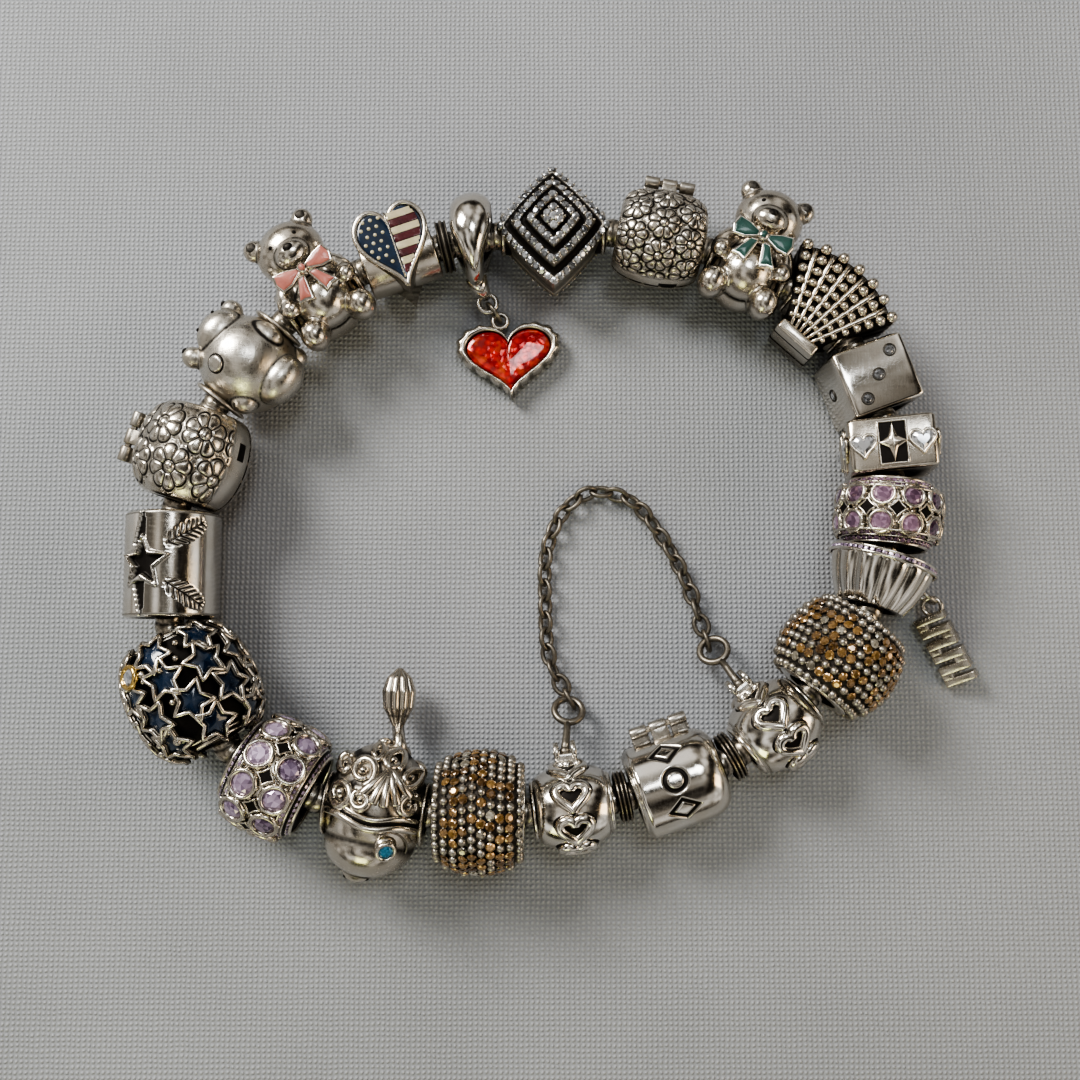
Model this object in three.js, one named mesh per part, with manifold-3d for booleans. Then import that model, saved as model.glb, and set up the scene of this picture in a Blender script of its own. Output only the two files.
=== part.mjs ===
// A silver charm bracelet: a snake chain closed by a barrel clasp, filled with beads, clips,
// figures and two dangles, with a safety chain across the clasp. It lies flat, as it was put down.
// Units are millimetres and +Z is up. Each charm is modelled about its own bore: X runs along the
// snake chain, Y points out of the loop and Z points up.
import * as THREE from "three";
import { mergeVertices } from "three/addons/utils/BufferGeometryUtils.js";
import Module from "manifold-3d";

const wasm = await Module();
wasm.setup();

// Driving dimensions
const gap = 0.3; // space left between parts that move or sit in each other
const charmGap = 0.25; // least space between neighbouring charms
const chainRadius = 1.4; // snake chain
const boreClearance = 0.75; // between the chain and a bead's bore
const bore = chainRadius + boreClearance;
const seam = 0.2; // between the halves of a clasp or clip
const lidAxisOut = 1.1; // hinge axis, outside the shell
const pinRadius = 0.32;
const pinClearance = 0.12;
const knuckleRadius = 0.78;

const clasp = { width: 8.8, radius: 4.45, wall: 0.9, neck: 2.5, cavity: 5.6 };
const collar = { width: 1.2, radius: 2.5 };
const spacer = { width: 1.1, radius: 2.7 };
const heartBead = { width: 7.7, radius: 4.5, flange: 2.6, hearts: 5 };
const pave = { width: 8.7, radius: 5.8, flange: 3.2 };
const lilacWide = { width: 7.7, radius: 5.7, flange: 4.0, stones: 10, stoneRadius: 1.0 };
const lilacNarrow = { width: 6.4, radius: 5.3, flange: 3.9, stones: 10, stoneRadius: 0.9 };
const starBall = { width: 11.2, radius: 6.3, starRadius: 2.7, starRise: 0.35 };
const starBarrel = { width: 10.2, radius: 4.65, starRadius: 2.3 };
const daisyLarge = { width: 9.4, radius: 5.55, flange: 2.9, wall: 1.1, daisyRadius: 2.3 };
const daisySmall = { width: 8.8, radius: 4.95, flange: 2.8, wall: 1.0, daisyRadius: 2.1 };
const hippo = { width: 9.8, radius: 4.8, girth: 4.95 }; // radius: where its ears and muzzle sit
const bear = { width: 8.2, girth: 4.0, head: 3.35, foot: 1.55 };
const plaque = { width: 7.4, across: 7.5, span: 9.2, thick: 7.2, tube: 3.0 };
const smoothBail = { width: 3.8, radius: 4.6, lug: 1.25 };
const diamond = { width: 11.2, across: 12.8, thick: 8.4, corner: 0.2, steps: 3 };
const fan = { width: 7.0, ribs: 7, reach: 9.0, thick: 6.4, tube: 2.9 };
const dice = { width: 6.8, side: 7.4, edge: 0.5, stoneRadius: 0.5 };
const heartBlock = { width: 5.2, side: 8.6, edge: 0.9 };
const flutedBail = { width: 5.2, wide: 5.3, narrow: 3.4, flutes: 8, fluteDepth: 0.35 };
const fish = { width: 9.8, long: 6.3, high: 5.5, eye: 0.8, tailLength: 5.8, tailRadius: 1.7 };
const link = { count: 18, width: 1.95, wire: 0.45, press: 0.02 };
const eyeRing = { radius: 1.4, wire: 0.27, stem: 3.4 };
const pendant = { width: 11.2, height: 8.6, thick: 2.2, rim: 1.0, jumpRadius: 1.15, jumpWire: 0.19 };
const tag = { width: 3.2, length: 7.4, thick: 1.3, slits: 5, slit: 0.35 };

// Where the snake chain runs, as chosen points seen from above, clockwise from the clasp.
const ROUTE = [
  [12.9, -22.6], [3.0, -24.9], [-7.2, -25.3], [-17.4, -24.6], [-27.0, -20.6],
  [-33.2, -12.2], [-34.9, -1.4], [-32.7, 9.6], [-27.4, 18.4], [-20.2, 25.0],
  [-10.5, 29.0], [0.8, 30.6], [12.6, 29.6], [22.9, 25.8], [30.2, 19.4],
  [33.4, 10.8], [33.3, 2.4], [31.4, -5.6], [26.9, -12.4], [20.6, -18.6],
];
// Where the safety chain lies between its two eyes, in the same frame.
const SAFETY_ROUTE = [
  [1.0, -11.5], [0.5, -5.5], [0.7, -0.5], [2.3, 3.2],
  [5.0, 5.2], [9.0, 4.4], [12.2, 0.6], [14.6, -4.0],
];

// Charms in the order they are threaded. end is the radius where a charm meets its neighbour on
// the inside of the bend, and rest is the height of its bore above the table.
const THREADED = [
  { name: "clasp", width: clasp.width, end: 2.3, rest: clasp.radius },
  { name: "collar_left", width: collar.width, end: collar.radius, rest: clasp.radius + 0.28 },
  { name: "heart_clip_left", width: heartBead.width, end: heartBead.flange, rest: heartBead.radius + 0.5 },
  { name: "amber_bead_left", width: pave.width, end: pave.flange, rest: pave.radius },
  { name: "fish", width: fish.width, end: 2.6, rest: fish.high + 0.2 },
  { name: "lilac_bead_left", width: lilacWide.width, end: lilacWide.flange - 0.4, rest: lilacWide.radius },
  { name: "star_ball", width: starBall.width, end: 2.8, rest: starBall.radius + 0.05 },
  { name: "star_barrel", width: starBarrel.width, end: 3.2, rest: starBarrel.radius },
  { name: "daisy_clip_left", width: daisyLarge.width, end: daisyLarge.flange, rest: daisyLarge.radius },
  { name: "hippo", width: hippo.width, end: 2.5, rest: hippo.girth },
  { name: "bear_pink", width: bear.width, end: 2.5, rest: bear.girth + 0.9 },
  { name: "plaque", width: plaque.width, end: 3.0, rest: 4.4 },
  { name: "spacer", width: spacer.width, end: spacer.radius, rest: 4.5 },
  { name: "smooth_bail", width: smoothBail.width, end: 2.9, rest: smoothBail.radius },
  { name: "diamond", width: diamond.width, end: 3.0, rest: 4.5 },
  { name: "daisy_clip_right", width: daisySmall.width, end: daisySmall.flange, rest: daisySmall.radius },
  { name: "bear_green", width: bear.width, end: 2.5, rest: bear.girth + 0.6 },
  { name: "fan", width: fan.width, end: 2.8, rest: 4.6 },
  { name: "dice", width: dice.width, end: 3.1, rest: dice.side / 2 },
  { name: "heart_block", width: heartBlock.width, end: 3.1, rest: 4.95 },
  {
    name: "lilac_bead_right", width: lilacNarrow.width,
    end: lilacNarrow.flange - 0.4, rest: lilacNarrow.radius,
  },
  { name: "fluted_bail", width: flutedBail.width, end: 3.4, rest: flutedBail.wide },
  { name: "amber_bead_right", width: pave.width, end: pave.flange, rest: pave.radius },
  { name: "heart_clip_right", width: heartBead.width, end: heartBead.flange, rest: heartBead.radius + 0.5 },
  { name: "collar_right", width: collar.width, end: collar.radius, rest: clasp.radius + 0.28 },
];

// Materials
const paint = (color, roughness, metalness) =>
  new THREE.MeshStandardMaterial({ color, roughness, metalness });
const silver = paint(0xd2cfc8, 0.25, 1);
const darkSilver = paint(0x77726b, 0.4, 1);
const amber = paint(0x9a5a1c, 0.15, 0.3);
const lilac = paint(0xb49ab8, 0.1, 0.1);
const clear = paint(0xd8dde4, 0.05, 0.1);
const redEnamel = paint(0xd0200e, 0.15, 0);
const navyEnamel = paint(0x0c2434, 0.25, 0);
const pinkEnamel = paint(0xc97f74, 0.35, 0);
const greenEnamel = paint(0x3f6f62, 0.35, 0);

// Solids: a three.js geometry becomes a closed solid, to be joined and cut.
function signedVolume(position, index) {
  const corners = [0, 1, 2].map(() => new THREE.Vector3());
  let volume = 0;
  for (let i = 0; i < index.length; i += 3) {
    corners.forEach((corner, k) => corner.fromBufferAttribute(position, index[i + k]));
    volume += corners[0].dot(corners[1].clone().cross(corners[2])) / 6;
  }
  return volume;
}

function solid(geometry) {
  const bare = geometry.clone();
  bare.deleteAttribute("normal");
  bare.deleteAttribute("uv");
  const merged = mergeVertices(bare, 1e-4);
  const triangles = [];
  const index = merged.index.array;
  const inwards = signedVolume(merged.attributes.position, index) < 0;
  for (let i = 0; i < index.length; i += 3) {
    const [a, b, c] = [index[i], index[i + 1], index[i + 2]];
    if (a === b || b === c || a === c) continue;
    triangles.push(...(inwards ? [a, c, b] : [a, b, c]));
  }
  return new wasm.Manifold(new wasm.Mesh({
    numProp: 3,
    vertProperties: new Float32Array(merged.attributes.position.array),
    triVerts: new Uint32Array(triangles),
  }));
}

const join = (...solids) => solids.flat().reduce((all, one) => all.add(one));
const cut = (body, ...tools) => tools.flat().reduce((left, tool) => left.subtract(tool), body);

function mesh(name, body, material) {
  const made = body.getMesh();
  const geometry = new THREE.BufferGeometry();
  geometry.setAttribute("position", new THREE.BufferAttribute(made.vertProperties, 3));
  geometry.setIndex(new THREE.BufferAttribute(made.triVerts, 1));
  const out = new THREE.Mesh(geometry, material);
  out.name = name;
  return out;
}

// A geometry stretched by size, turned by angles in degrees about X, Y and Z, and moved to at.
function placed(geometry, { at = [0, 0, 0], turn = [0, 0, 0], size = [1, 1, 1] } = {}) {
  const [x, y, z] = turn.map(THREE.MathUtils.degToRad);
  const matrix = new THREE.Matrix4().compose(
    new THREE.Vector3(...at),
    new THREE.Quaternion().setFromEuler(new THREE.Euler(x, y, z, "ZYX")),
    new THREE.Vector3(...size),
  );
  return solid(geometry.clone().applyMatrix4(matrix));
}

// A geometry whose Z is made to point out of the bore, at an angle about the bore (0 is out of the
// loop, 90 is up) and tipped towards +X by lean, its origin at the given radius.
function seated(geometry, { around, lean = 0, radius, x = 0, spin = 0 }) {
  const a = THREE.MathUtils.degToRad(around);
  const l = THREE.MathUtils.degToRad(lean);
  const out = new THREE.Vector3(Math.sin(l), Math.cos(l) * Math.cos(a), Math.cos(l) * Math.sin(a));
  const along = new THREE.Vector3(0, -Math.cos(a), -Math.sin(a)).multiplyScalar(Math.sin(l));
  along.x = Math.cos(l);
  const side = out.clone().cross(along);
  const matrix = new THREE.Matrix4().makeBasis(along, side, out)
    .setPosition(out.clone().multiplyScalar(radius).add(new THREE.Vector3(x, 0, 0)))
    .multiply(new THREE.Matrix4().makeRotationZ(THREE.MathUtils.degToRad(spin)));
  return solid(geometry.clone().applyMatrix4(matrix));
}

// A ring about X whose section is a closed list of [x, radius] points. A corner points down, so
// that the ring rests at its full radius.
function turned(profile, sides = 14) {
  const points = [...profile, profile[0]].map(([x, r]) => new THREE.Vector2(r, x));
  const geometry = new THREE.LatheGeometry(points, sides);
  return placed(geometry.rotateZ(-Math.PI / 2).rotateX(Math.PI / 2));
}

const rod = (radius, length, sides = 10) => // along X
  new THREE.CylinderGeometry(radius, radius, length, sides).rotateZ(Math.PI / 2);
const block = (x, y, z) => new THREE.BoxGeometry(x, y, z);
const ball = (radius, sides = 8, rings = 6) => new THREE.SphereGeometry(radius, sides, rings);
const boreTool = (width) => placed(rod(bore, width + 4, 12));
const endTrim = (width) => [-1, 1].map((side) =>
  placed(block(4, 24, 24), { at: [side * (width / 2 + 2), 0, 0] }));

// A bead's section: an elliptical belly between two flat ends.
function bellied({ width, radius, flange, inner = bore, steps = 5 }) {
  const half = width / 2;
  const outer = Array.from({ length: steps + 1 }, (_, i) => {
    const turn = Math.PI * (i / steps);
    return [-half * Math.cos(turn), flange + (radius - flange) * Math.sin(turn)];
  });
  return [...outer, [half, inner], [-half, inner]];
}

// An outline, run anticlockwise whichever way its points were listed.
function outline(points) {
  const corners = points.map(([x, y]) => new THREE.Vector2(x, y));
  return new THREE.Shape(THREE.ShapeUtils.area(corners) < 0 ? corners.reverse() : corners);
}

// A heart, its tip towards +X: lobes from a cosine rule, pinched where they meet.
function heartPoints(width, length, count = 14) {
  return Array.from({ length: count }, (_, i) => {
    const t = (2 * Math.PI * (i + 0.5)) / count;
    const across = Math.sin(t) ** 3;
    const down = (13 * Math.cos(t) - 5 * Math.cos(2 * t) - 2 * Math.cos(3 * t) - Math.cos(4 * t)) / 15;
    return [-(down * length) / 2 - length * 0.08, (across * width) / 2];
  });
}

function ringPoints(radius, count) {
  return Array.from({ length: count }, (_, i) => {
    const t = (2 * Math.PI * i) / count;
    return [radius * Math.cos(t), radius * Math.sin(t)];
  });
}

function starPoints(radius, inner = 0.5, tips = 5) {
  return Array.from({ length: 2 * tips }, (_, i) => {
    const r = i % 2 ? radius * inner : radius;
    const t = (Math.PI * i) / tips;
    return [r * Math.cos(t), r * Math.sin(t)];
  });
}

function plate(points, depth, holes = []) {
  const shape = outline(points);
  holes.forEach((hole) => shape.holes.push(outline(hole)));
  return new THREE.ExtrudeGeometry(shape, { depth, bevelEnabled: false });
}

// An outline at height base, drawn up to a peak over its middle.
function peaked(points, top, base) {
  const geometry = new THREE.CylinderGeometry(0, 1, 1, points.length, 1, false, Math.PI / 2);
  geometry.rotateX(Math.PI / 2);
  const position = geometry.attributes.position;
  for (let i = 0; i < position.count; i += 1) {
    const [x, y, z] = [position.getX(i), position.getY(i), position.getZ(i)];
    const corner = Math.round((Math.atan2(y, x) / (2 * Math.PI)) * points.length);
    const [px, py] = Math.hypot(x, y) < 0.5 ? [0, 0] : points[(corner + points.length) % points.length];
    position.setXYZ(i, px, py, z > 0 ? top : base);
  }
  return geometry;
}

// A cut stone, Z up: a flat table in eight crown facets, and a flat bottom sunk in its setting.
function stone(radius, sides = 8) {
  const height = 0.9 * radius;
  const geometry = new THREE.CylinderGeometry(0.58 * radius, 1.25 * radius, height, sides);
  return geometry.rotateX(Math.PI / 2).translate(0, 0, 0.32 * radius - height / 2);
}

// The hinge of a two-part shell, on the side given by towards (-1 inner, 1 outer). The shell is cut
// at its mid height: the lower half carries two knuckles and the pin, the lid one knuckle.
function hinged(name, shell, { radius, towards, knuckle, notch, extras = [] }) {
  const axisY = towards * (radius + lidAxisOut);
  const big = 4 * radius;
  const beyond = (up) => placed(block(big, big, big), { at: [0, 0, (up * (big - seam)) / 2] });
  const barrel = (x, length) => placed(rod(knuckleRadius, length, 8), { at: [x, axisY, 0] });
  const webY = towards * (radius - 0.05 + (lidAxisOut - knuckleRadius) / 2);
  const webZ = (knuckleRadius + seam / 2) / 2;
  const web = (x, length, up) => placed(
    block(length, knuckleRadius + lidAxisOut, knuckleRadius - seam / 2),
    { at: [x, webY, up * webZ] },
  );
  const pinHole = placed(rod(pinRadius + pinClearance, big, 8), { at: [0, axisY, 0] });
  const outside = placed(rod(radius - 0.3, big, 12));
  const sideX = knuckle + gap;
  const nick = placed(block(notch, 1.6, 0.7), { at: [0, -towards * radius, -seam / 2 - 0.35] });
  const lower = cut(
    join(cut(shell, beyond(1)), [-sideX, sideX].map((x) =>
      join(barrel(x, knuckle), cut(web(x, knuckle, -1), outside)))),
    pinHole, nick,
  );
  const upper = cut(
    join(cut(join(shell, ...extras), beyond(-1)),
      barrel(0, knuckle), cut(web(0, knuckle, 1), outside)),
    pinHole,
  );
  const pin = placed(rod(pinRadius, 3 * knuckle + 2 * gap, 8), { at: [0, axisY, 0] });
  return [
    mesh(`${name}_body`, lower, silver),
    mesh(`${name}_lid`, upper, silver),
    mesh(`${name}_pin`, pin, darkSilver),
  ];
}

// The barrel clasp, which takes the knob on the chain's other end. Its lid carries a heart, a
// ring and a lozenge in relief.
function makeClasp() {
  const { width, radius, wall, neck, cavity } = clasp;
  const half = width / 2;
  const snug = chainRadius + gap;
  const hollow = radius - wall;
  const shell = turned([
    [-half, neck], [-half * 0.78, radius * 0.85], [-half * 0.4, radius],
    [half * 0.78, radius], [half, radius * 0.8],
    [half, snug], [cavity / 2, snug], [cavity / 2, hollow], [-cavity / 2, hollow],
    [-cavity / 2, snug], [-half, snug],
  ], 12);
  const lozenge = [[0.95, 0], [0, 0.75], [-0.95, 0], [0, -0.75]];
  const motifs = [
    seated(plate(heartPoints(2.1, 1.9, 8), 0.5), { around: 48, radius: radius - 0.3, x: 0.4 }),
    seated(plate(ringPoints(1.0, 8), 0.5, [ringPoints(0.6, 6)]), {
      around: 84, radius: radius - 0.3, x: 0.4,
    }),
    seated(plate(lozenge, 0.5), { around: 118, radius: radius - 0.3, x: 0.4 }),
  ];
  return hinged("clasp", shell, { radius, towards: -1, knuckle: 1.7, notch: 2.8, extras: motifs });
}

// The knob that the clasp closes on, at the end of the chain.
function makeKnob() {
  const profile = [
    [-1.9, 0.9], [-0.9, 2.3], [0.4, 2.3], [1.2, 1.0], [2.1, 1.0], [2.1, 0.45], [-1.9, 0.45],
  ];
  return [mesh("chain_knob", turned(profile, 8), darkSilver)];
}

// A threaded end collar on the snake chain.
function makeCollar(name) {
  const { width, radius } = collar;
  const half = width / 2;
  const inner = chainRadius + 2 * gap;
  const profile = [
    [-half, radius * 0.86], [-half * 0.5, radius], [half * 0.5, radius], [half, radius * 0.86],
    [half, inner], [-half, inner],
  ];
  return [mesh(name, turned(profile, 10), silver)];
}

function makeSpacer() {
  const half = spacer.width / 2;
  const edge = spacer.radius - 0.4;
  const profile = [[-half, edge], [0, spacer.radius], [half, edge], [half, bore], [-half, bore]];
  return [mesh("spacer", turned(profile, 10), darkSilver)];
}

// A ball bead with a row of raised hearts round it and a socket for the safety chain's eye.
function makeHeartClip(name) {
  const { width, radius, flange, hearts } = heartBead;
  const body = turned(bellied({ width, radius, flange, steps: 4 }), 12);
  const rows = Array.from({ length: hearts - 1 }, (_, i) =>
    seated(plate(heartPoints(3.0, 2.6, 8), 0.9), {
      around: 180 + (360 * (i + 1)) / hearts, radius: radius - 0.5, spin: -90,
    }));
  const socket = [0, -(radius + 0.7), 0];
  const slot = placed(block(1.1, 2.4, 2.4), { at: [0, socket[1] - 0.8, 0] });
  const cup = cut(placed(rod(1.0, 2.2, 8), { at: socket }), slot);
  const bead = mesh(name, join(body, rows, cup), silver);
  const eye = new THREE.Group();
  const reach = eyeRing.stem + eyeRing.radius;
  const ring = placed(
    new THREE.TorusGeometry(eyeRing.radius, eyeRing.wire, 5, 10),
    { at: [0, -reach, 0] },
  );
  const stem = placed(
    rod(eyeRing.wire * 0.9, eyeRing.stem - 0.2, 6),
    { at: [0, -eyeRing.stem / 2 - 0.1, 0], turn: [0, 0, 90] },
  );
  eye.add(mesh(`${name}_eye`, join(ring, stem), darkSilver));
  eye.position.set(...socket);
  return [bead, eye];
}

// A ball set all over with small amber stones between two plain rims.
function makePave(name) {
  return [mesh(name, turned(bellied(pave), 14), amber)];
}

// A bead whose surface is two rows of four-cornered cells, with a stud in each. The rings of
// corners are each turned by half a cell, which staggers the rows. stud gives a cell's raised
// outline and its peak, and the cell is filled in between its corners and that outline.
function studded({ width, radius, flange, count }, stud) {
  const half = width / 2;
  const corners = [];
  const facet = (...points) => corners.push(...points.flatMap((point) => point.toArray()));
  const ring = (x, r, turn) => Array.from({ length: count }, (_, i) => {
    const t = ((i + turn) / count) * 2 * Math.PI;
    return new THREE.Vector3(x, r * Math.cos(t), r * Math.sin(t));
  });
  const strip = (one, other) => one.forEach((point, i) => {
    const next = (i + 1) % count;
    facet(point, other[next], other[i]);
    facet(point, one[next], other[next]);
  });
  const fill = (cell) => {
    const middle = cell.reduce((sum, point) => sum.add(point), new THREE.Vector3()).divideScalar(4);
    const out = new THREE.Vector3(middle.x * 0.8, middle.y, middle.z).normalize();
    const along = cell[0].clone().sub(middle).projectOnPlane(out).normalize();
    const across = out.clone().cross(along);
    const { raised, peak } = stud({ middle, out, along, across });
    const angle = (point) => {
      const from = point.clone().sub(middle);
      return (Math.atan2(from.dot(across), from.dot(along)) + 2 * Math.PI + 1e-6) % (2 * Math.PI);
    };
    raised.forEach((point, k) => facet(peak, point, raised[(k + 1) % raised.length]));
    for (let i = 0, k = 0; i < 4 || k < raised.length;) {
      const [corner, nextCorner] = [cell[i % 4], cell[(i + 1) % 4]];
      const [point, nextPoint] = [raised[k % raised.length], raised[(k + 1) % raised.length]];
      const cornerTurn = i < 3 ? angle(nextCorner) : 2 * Math.PI;
      const pointTurn = k < raised.length - 1 ? angle(nextPoint) : 2 * Math.PI;
      if (k === raised.length || (i < 4 && cornerTurn < pointTurn)) {
        facet(corner, nextCorner, point);
        i += 1;
      } else {
        facet(corner, nextPoint, point);
        k += 1;
      }
    }
  };
  const rims = [ring(-half * 0.84, flange, 0), ring(0, radius, 0.5), ring(half * 0.84, flange, 1)];
  rims.slice(0, 2).forEach((rim, row) => rim.forEach((corner, i) => {
    const next = (i + 1) % count;
    fill([corner, rim[next], rims[row + 1][next], rims[row + 1][i]]);
  }));
  const inner = bore / Math.cos(Math.PI / count);
  strip(ring(-half, flange - 0.2, 0), rims[0]);
  strip(rims[2], ring(half, flange - 0.2, 1));
  strip(ring(half, flange - 0.2, 1), ring(half, inner, 1));
  strip(ring(half, inner, 1), ring(-half, inner, 1));
  strip(ring(-half, inner, 1), ring(-half, flange - 0.2, 1));
  const geometry = new THREE.BufferGeometry();
  geometry.setAttribute("position", new THREE.Float32BufferAttribute(corners, 3));
  return solid(geometry);
}

// A bead with two rows of round-cut lilac stones, each a table in eight facets.
function makeLilac(name, { stones, stoneRadius, ...size }) {
  const bead = studded({ ...size, count: stones }, ({ middle, out, along }) => {
    const peak = middle.clone().addScaledVector(out, 0.55 * stoneRadius);
    const raised = Array.from({ length: 8 }, (_, k) => along.clone()
      .multiplyScalar(0.62 * stoneRadius).applyAxisAngle(out, (Math.PI * k) / 4).add(peak));
    return { raised, peak };
  });
  return [mesh(name, bead, lilac)];
}

// An open ball of ten five-pointed stars, with a gap through to the bore between neighbours.
function makeStarBall() {
  const { width, radius, starRadius, starRise } = starBall;
  const size = { width, radius: radius * 0.93, flange: 3.5, count: 5 };
  const globe = studded(size, ({ out, along, across }) => ({
    peak: out.clone().multiplyScalar(radius + starRise),
    raised: starPoints(starRadius).map(([x, y]) => out.clone().multiplyScalar(radius)
      .addScaledVector(along, x).addScaledVector(across, y).setLength(radius)),
  }));
  const opening = new THREE.CylinderGeometry(1.1, 0.6, radius, 3).rotateX(Math.PI / 2);
  const gaps = Array.from({ length: 5 }, (_, k) =>
    seated(opening, { around: 72 * k, radius: radius / 2 }));
  return [mesh("star_ball", cut(globe, gaps), darkSilver)];
}

// A plain barrel with a star let into its side, in a raised border, and ridges to both ends.
function makeStarBarrel() {
  const { width, radius, starRadius } = starBarrel;
  const half = width / 2;
  const barrel = turned([
    [-half, radius - 0.3], [-half + 0.3, radius], [half - 0.3, radius], [half, radius - 0.3],
    [half, bore], [-half, bore],
  ]);
  const seat = { around: 52, spin: 90 };
  const star = seated(plate(starPoints(starRadius), 1.4), { ...seat, radius: radius - 1.1 });
  const pocket = seated(plate(starPoints(starRadius * 0.72), 2.4), { ...seat, radius: radius - 1.4 });
  const ridges = [-1, 1].map((side) => seated(block(half - starRadius + 0.2, 0.7, 0.6), {
    around: 52, radius: radius - 0.1, x: side * (half + starRadius) * 0.47,
  }));
  return [mesh("star_barrel", cut(join(barrel, star, ridges), pocket), silver)];
}

// Petals round a centre, as one raised scalloped plate.
function daisy(radius, rise) {
  const petals = 6;
  const points = Array.from({ length: 2 * petals }, (_, i) => {
    const r = i % 2 ? radius * 0.72 : radius;
    const t = (Math.PI * i) / petals;
    return [r * Math.cos(t), r * Math.sin(t)];
  });
  return plate(points, rise);
}

// A ball clip covered in daisies, opening along its inner side.
function makeDaisyClip(name, size) {
  const { width, radius, flange, wall, daisyRadius } = size;
  const outer = bellied({ width, radius: radius - 0.12, flange, steps: 4 }).slice(0, 5);
  const half = width / 2;
  const snug = chainRadius + gap + 0.15;
  const inside = (r) => Math.max(r - wall, snug);
  const inner = outer.map(([x, r]) => [x * (1 - wall / half), inside(r)]).reverse();
  const shell = turned([...outer, [half, snug], ...inner, [-half, snug]], 12);
  const flower = daisy(daisyRadius, 0.9);
  const rows = [42, 96].map((around, k) =>
    seated(flower, { around, lean: k % 2 ? 22 : -22, radius: radius - 0.95, spin: 17 * k }));
  const trimmed = join(shell, rows);
  return hinged(name, trimmed, { radius: radius - 0.1, towards: 1, knuckle: 1.5, notch: 2.2 });
}

// A plump resting animal, its ears on the outer side, a foot on top and its muzzle on the inner.
function makeHippo() {
  const { width, radius, girth } = hippo;
  const body = placed(ball(1, 12, 8), { size: [width / 2 + 0.7, girth, girth] });
  const trim = endTrim(width);
  const ears = [-2.9, 3.1].map((x) => placed(ball(1.15, 6, 4), { at: [x, radius - 0.5, 1.6] }));
  const muzzle = placed(ball(1, 8, 5), { at: [0.2, -radius + 0.4, 1.2], size: [2.3, 1.5, 1.6] });
  const pad = new THREE.CylinderGeometry(0.95, 1.15, 1.2, 8).rotateX(Math.PI / 2);
  const foot = seated(pad, { around: 76, lean: -26, radius: girth - 0.1 });
  const tail = placed(ball(0.85, 6, 4), { at: [3.6, -radius + 1.3, -0.4] });
  const whole = cut(join(cut(body, trim), ears, muzzle, foot, cut(tail, trim)), boreTool(width));
  return [mesh("hippo", whole, silver)];
}

// A seated teddy bear, its head out of the loop and its face up, with a bow at its neck.
function makeBear(name, enamel) {
  const { width, girth, head, foot } = bear;
  const torso = placed(ball(1, 10, 6), { at: [0, -0.4, -0.5], size: [width / 2 + 0.6, girth, girth] });
  const trim = endTrim(width);
  const skull = placed(ball(head, 8, 6), { at: [0, 5.0, 1.6], size: [1.08, 0.92, 0.92] });
  const muzzle = placed(ball(1, 6, 4), { at: [0, 4.2, 4.1], size: [1.6, 1.15, 1.2] });
  const ears = [-1, 1].map((side) => placed(ball(1, 6, 4), {
    at: [side * 2.9, 7.2, 2.0], size: [1.15, 1.15, 0.8],
  }));
  const feet = [-1, 1].map((side) => placed(ball(1, 6, 4), {
    at: [side * 2.6, -4.2, 1.8], size: [foot, foot * 1.1, foot * 1.45], turn: [0, 0, side * 14],
  }));
  const arms = placed(block(7.4, 1.3, 1.4), { at: [0, -0.2, 3.0] });
  const wings = [-1, 1].map((side) => {
    const wing = outline([[0, -0.3], [2.9, -1.1], [3.1, 0.9], [0, 0.3]]);
    return placed(new THREE.ExtrudeGeometry(wing, { depth: 0.6, bevelEnabled: false }), {
      at: [0, 1.75, 4.45], size: [side, 1, 1],
    });
  });
  const knot = placed(ball(0.55, 6, 4), { at: [0, 1.75, 4.75] });
  const bow = join(wings, knot);
  const pocket = placed(block(7, 3.0, 3), { at: [0, 1.7, 4.45 - gap + 1.5] });
  const figure = join(cut(torso, trim), skull, muzzle, ears, feet, arms);
  const seat = cut(cut(figure, boreTool(width)), pocket);
  return [mesh(name, seat, silver), mesh(`${name}_bow`, bow, enamel)];
}

// A thick heart-shaped plaque with an enamelled face, on a tube.
function makePlaque() {
  const { width, across, span, thick, tube } = plaque;
  const bottom = 0.6 - thick / 2;
  const heart = heartPoints(across, span, 16).map(([x, y]) => [-y, -x]);
  const core = new THREE.ExtrudeGeometry(outline(heart), { depth: thick - 0.9, bevelEnabled: false });
  const face = new THREE.ExtrudeGeometry(outline(heart.map(([x, y]) => [x * 0.86, y * 0.86])), {
    depth: 0.6, bevelEnabled: false,
  });
  const sleeve = placed(rod(tube, width, 12));
  const body = cut(join(placed(core, { at: [0, 0, bottom] }), sleeve), boreTool(width));
  return [
    mesh("plaque", body, silver),
    mesh("plaque_enamel", placed(face, { at: [0, 0, bottom + thick - 0.6] }), navyEnamel),
  ];
}

// A smooth bail bead whose inner side draws down to a drilled lug.
function makeSmoothBail() {
  const { width, radius, lug } = smoothBail;
  const ring = turned(bellied({ width, radius, flange: 3.2, steps: 4 }), 12);
  const drop = placed(new THREE.ConeGeometry(1.5, 2.8, 8), {
    at: [0.4, -radius - 0.1, -2.0], turn: [38, 0, 180],
  });
  const tip = placed(ball(lug, 8, 6), { at: [0.4, -radius - 1.16, -2.6], size: [0.9, 1, 0.6] });
  const hole = placed(rod(0.74, 5, 8), { at: [0.4, -radius - 1.16, -2.6], turn: [0, 90, 0] });
  return [mesh("smooth_bail", cut(join(ring, drop, tip), hole, boreTool(width)), silver)];
}

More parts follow.
